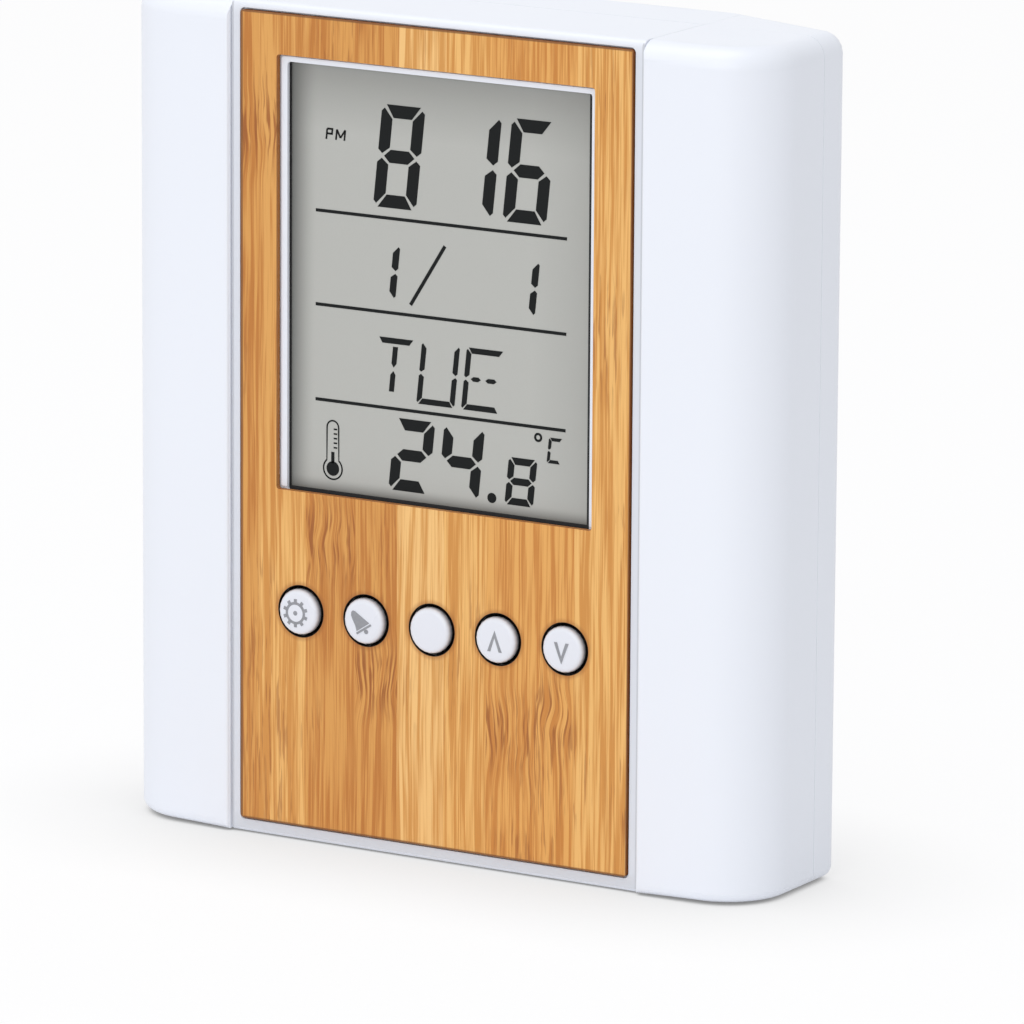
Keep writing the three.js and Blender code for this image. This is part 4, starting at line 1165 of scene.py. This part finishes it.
def cell_finish():
    """Battery jacket: a plain blue-grey sleeve with a pale band between bare metal ends."""
    low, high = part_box("battery_cell")
    made = Finish("cell_jacket", {"IOR": 1.5})
    place = made.place()
    rise = made.step(made.split(place)[2], low.z, high.z, False)
    stops = [
        (0.0, CELL_METAL),
        (SLEEVE_LOW, SLEEVE),
        (BAND_LOW, SLEEVE_BAND),
        (BAND_HIGH, SLEEVE),
        (SLEEVE_HIGH, CELL_CAP),
    ]
    metal = [(0.0, (1.0,) * 4), (SLEEVE_LOW, (0.0, 0.0, 0.0, 1.0)), (SLEEVE_HIGH, (1.0,) * 4)]
    scuff = made.noise(made.stretch(place, (1.0, 1.0, 0.2)), 1400.0, 3.0)
    sleeve = made.ramp(rise, stops, "CONSTANT")
    made.feed("Base Color", made.mix(made.calc("MULTIPLY", scuff, 0.16), sleeve, SLEEVE_SCUFF))
    made.feed("Metallic", made.ramp(rise, metal, "CONSTANT"))
    made.feed("Roughness", made.spread(scuff, 0.24, 0.36))
    made.bump(scuff, 0.04, 0.03 * MM)
    return made.material


class CLOCK_OT_finish_battery(Operator):
    """Finishes the battery cell and its spring contacts"""

    bl_idname = "clock.finish_battery"
    bl_label = "Finish battery"

    def execute(self, context):
        contacts = ("positive_contact", "negative_contact")
        paint(("battery_cell",), cell_finish())
        paint(contacts, metal_finish("contact_plating", shade(206, 202, 190), 0.3))
        soften(frame_nodes(("battery_cell",) + contacts), context.scene.clock_shell.small_edge / 2)
        return {"FINISHED"}


class CLOCK_OT_finish_inner_parts(Operator):
    """Finishes the circuit board and the parts on it"""

    bl_idname = "clock.finish_inner_parts"
    bl_label = "Finish inner parts"

    def execute(self, context):
        switches = tuple(f"tact_switch_{i + 1}" for i in range(KEY_COUNT))
        plungers = tuple(f"switch_plunger_{i + 1}" for i in range(KEY_COUNT))
        black = ("chip_blob", "thermistor") + plungers
        paint(("main_pcb",), board_finish("board_mask", shade(34, 92, 58)))
        paint(black, moulded_finish("black_resin", shade(28, 28, 30), 0.4))
        paint(("zebra_strip",), rubber_finish("contact_rubber", shade(120, 74, 66)))
        paint(switches + ("crystal_can",), metal_finish("tinned_steel", shade(186, 188, 190), 0.34))
        paint(("piezo_buzzer",), metal_finish("buzzer_brass", shade(206, 172, 96), 0.3))
        names = ("main_pcb", "zebra_strip", "crystal_can", "piezo_buzzer") + black + switches
        soften(frame_nodes(names), context.scene.clock_shell.small_edge / 2)
        return {"FINISHED"}


class CLOCK_OT_finish_screws(Operator):
    """Finishes the screws of the housing, the board and the wings"""

    bl_idname = "clock.finish_screws"
    bl_label = "Finish screws"

    def execute(self, context):
        paint(SCREWS, metal_finish("screw_steel", shade(172, 174, 178), 0.32, (700.0, 700.0, 700.0)))
        soften(frame_nodes(SCREWS), context.scene.clock_shell.small_edge / 3)
        return {"FINISHED"}


def seen_directly(tree):
    """1 for rays from the camera, a reflection or glass, and 0 for light, in any node tree."""
    rays = tree.nodes.new("ShaderNodeLightPath").outputs
    seen = rays["Is Camera Ray"]
    for name in ("Is Glossy Ray", "Is Transmission Ray"):
        either = tree.nodes.new("ShaderNodeMath")
        either.operation = "MAXIMUM"
        tree.links.new(seen, either.inputs[0])
        tree.links.new(rays[name], either.inputs[1])
        seen = either.outputs[0]
    return seen


# glow of the floor for each amount of ambient occlusion: painted shade round the foot
FLOOR_SHADE = (
    (0.00, 0.21),
    (0.12, 0.33),
    (0.26, 0.57),
    (0.40, 0.77),
    (0.53, 0.84),
    (0.62, 0.87),
    (0.76, 0.92),
    (0.92, 0.975),
    (1.00, 1.00),
)


def floor_finish(settings):
    """Pale matt floor that keeps the shadow in its lit share, has painted shade round the foot in its
    glow, and otherwise reads as plain white.
    """
    made = Finish("floor_paper", {"Roughness": 0.9, "Specular IOR Level": 0.0})
    tooth = made.noise(made.place(), 900.0, 2.0)
    made.feed("Base Color", made.mix(tooth, (0.93, 0.93, 0.935, 1.0), (0.96, 0.96, 0.965, 1.0)))
    # painted shade: the glow seen directly is darker where the object hides the floor
    hidden = made.add("AmbientOcclusion", {"Distance": settings.floor_reach}, samples=24).outputs["AO"]
    stops = [(place, (level, level, level * 1.005, 1.0)) for place, level in FLOOR_SHADE]
    shaded_glow = made.add("Emission", {"Color": made.ramp(hidden, stops), "Strength": 1.0})
    share = made.calc("MULTIPLY", seen_directly(made.tree), settings.floor_glow)
    blend = made.add("MixShader", {0: share, 1: made.shader.outputs[0], 2: shaded_glow.outputs[0]})
    made.tree.links.new(blend.outputs[0], made.tree.nodes["Material Output"].inputs["Surface"])
    return made.material


LAMP_TARGET = (0.0, 0.0, 0.05)
FLOOR_GAP = 0.2 * MM


class CLOCK_OT_set_stage(Operator):
    """Sets the camera, the soft light, the world and the pale floor"""

    bl_idname = "clock.set_stage"
    bl_label = "Set stage"

    def execute(self, context):
        settings = context.scene.clock_stage
        scene = context.scene
        scene.view_settings.view_transform = "Standard"
        self.set_camera(scene, settings)
        self.set_light(scene, settings)
        self.set_world(scene, settings)
        self.set_floor(scene, settings)
        return {"FINISHED"}

    def set_camera(self, scene, settings):
        turn, lift, roll = settings.azimuth, settings.elevation, settings.roll
        back = Vector((sin(turn) * cos(lift), -cos(turn) * cos(lift), sin(lift)))
        level = Vector((cos(turn), sin(turn), 0.0))
        over = back.cross(level)
        right = level * cos(roll) + over * sin(roll)
        up = over * cos(roll) - level * sin(roll)
        target = Vector((settings.aim_side, PANEL_LOW.y, settings.aim_height))
        lens = bpy.data.cameras.new("photo_camera")
        lens.sensor_width = 36.0
        lens.lens = settings.lens
        lens.clip_start = 0.05
        camera = bpy.data.objects.new("photo_camera", lens)
        place = Matrix((right, up, back)).transposed().to_4x4()
        shift = right * settings.slide - up * settings.drop
        place.translation = target + shift + back * settings.distance
        camera.matrix_world = place
        scene.collection.objects.link(camera)
        scene.camera = camera

    def set_light(self, scene, settings):
        lamps = (
            ("top_light", settings.top_power, 1.2, (-0.2, -0.3, 1.4)),
            ("front_light", settings.front_power, 1.6, (0.3, -1.7, 0.6)),
        )
        for name, power, size, place in lamps:
            lamp = bpy.data.lights.new(name, "AREA")
            lamp.shape = "DISK"
            lamp.size = size
            lamp.energy = power
            light = bpy.data.objects.new(name, lamp)
            light.location = place
            towards = Vector(LAMP_TARGET) - light.location
            light.rotation_euler = towards.to_track_quat("-Z", "Y").to_euler()
            scene.collection.objects.link(light)

    def set_world(self, scene, settings):
        world = bpy.data.worlds.new("white_room")
        world.use_nodes = True
        scene.world = world
        tree = world.node_tree
        sky = tree.nodes["Background"]
        sky.inputs["Color"].default_value = (1.0, 1.0, 1.0, 1.0)
        level = tree.nodes.new("ShaderNodeMapRange")
        level.inputs["To Min"].default_value = settings.ambient
        level.inputs["To Max"].default_value = 1.0
        tree.links.new(seen_directly(tree), level.inputs["Value"])
        tree.links.new(level.outputs["Result"], sky.inputs["Strength"])

    def set_floor(self, scene, settings):
        mesh = bmesh.new()
        bmesh.ops.create_circle(mesh, cap_ends=True, radius=settings.floor_radius, segments=96)
        sheet = bpy.data.meshes.new("floor")
        mesh.to_mesh(sheet)
        mesh.free()
        sheet.materials.append(floor_finish(settings))
        floor = bpy.data.objects.new("floor", sheet)
        floor.location.z = -FLOOR_GAP
        scene.collection.objects.link(floor)


class CLOCK_PT_dressing(Panel):
    """Lists the operators and settings of the desk clock"""

    bl_idname = "CLOCK_PT_dressing"
    bl_label = "Desk clock pen holder"
    bl_space_type = "VIEW_3D"
    bl_region_type = "UI"
    bl_category = "Desk Clock"

    def draw(self, context):
        for operator in OPERATORS:
            self.layout.operator(operator.bl_idname)
        for name, group in SETTINGS.items():
            column = self.layout.column()
            column.label(text=group.__doc__)
            for key in group.__annotations__:
                column.prop(getattr(context.scene, name), key)


SETTINGS = {
    "clock_shell": ShellSettings,
    "clock_bamboo": BambooSettings,
    "clock_display": DisplaySettings,
    "clock_keys": KeySettings,
    "clock_stage": StageSettings,
}
OPERATORS = (
    CLOCK_OT_set_stage,
    CLOCK_OT_finish_shells,
    CLOCK_OT_finish_trays,
    CLOCK_OT_finish_panel,
    CLOCK_OT_build_display,
    CLOCK_OT_build_keys,
    CLOCK_OT_finish_battery,
    CLOCK_OT_finish_inner_parts,
    CLOCK_OT_finish_screws,
)
CLASSES = tuple(SETTINGS.values()) + OPERATORS + (CLOCK_PT_dressing,)


def register():
    for item in CLASSES:
        bpy.utils.register_class(item)
    for name, group in SETTINGS.items():
        setattr(bpy.types.Scene, name, PointerProperty(type=group))


def unregister():
    for name in SETTINGS:
        delattr(bpy.types.Scene, name)
    for item in reversed(CLASSES):
        bpy.utils.unregister_class(item)


def main():
    """Registers the classes and runs every operator in order."""
    register()
    bpy.ops.clock.set_stage()
    bpy.ops.clock.finish_shells()
    bpy.ops.clock.finish_trays()
    bpy.ops.clock.finish_panel()
    bpy.ops.clock.build_display()
    bpy.ops.clock.build_keys()
    bpy.ops.clock.finish_battery()
    bpy.ops.clock.finish_inner_parts()
    bpy.ops.clock.finish_screws()


if __name__ == "__main__":
    main()
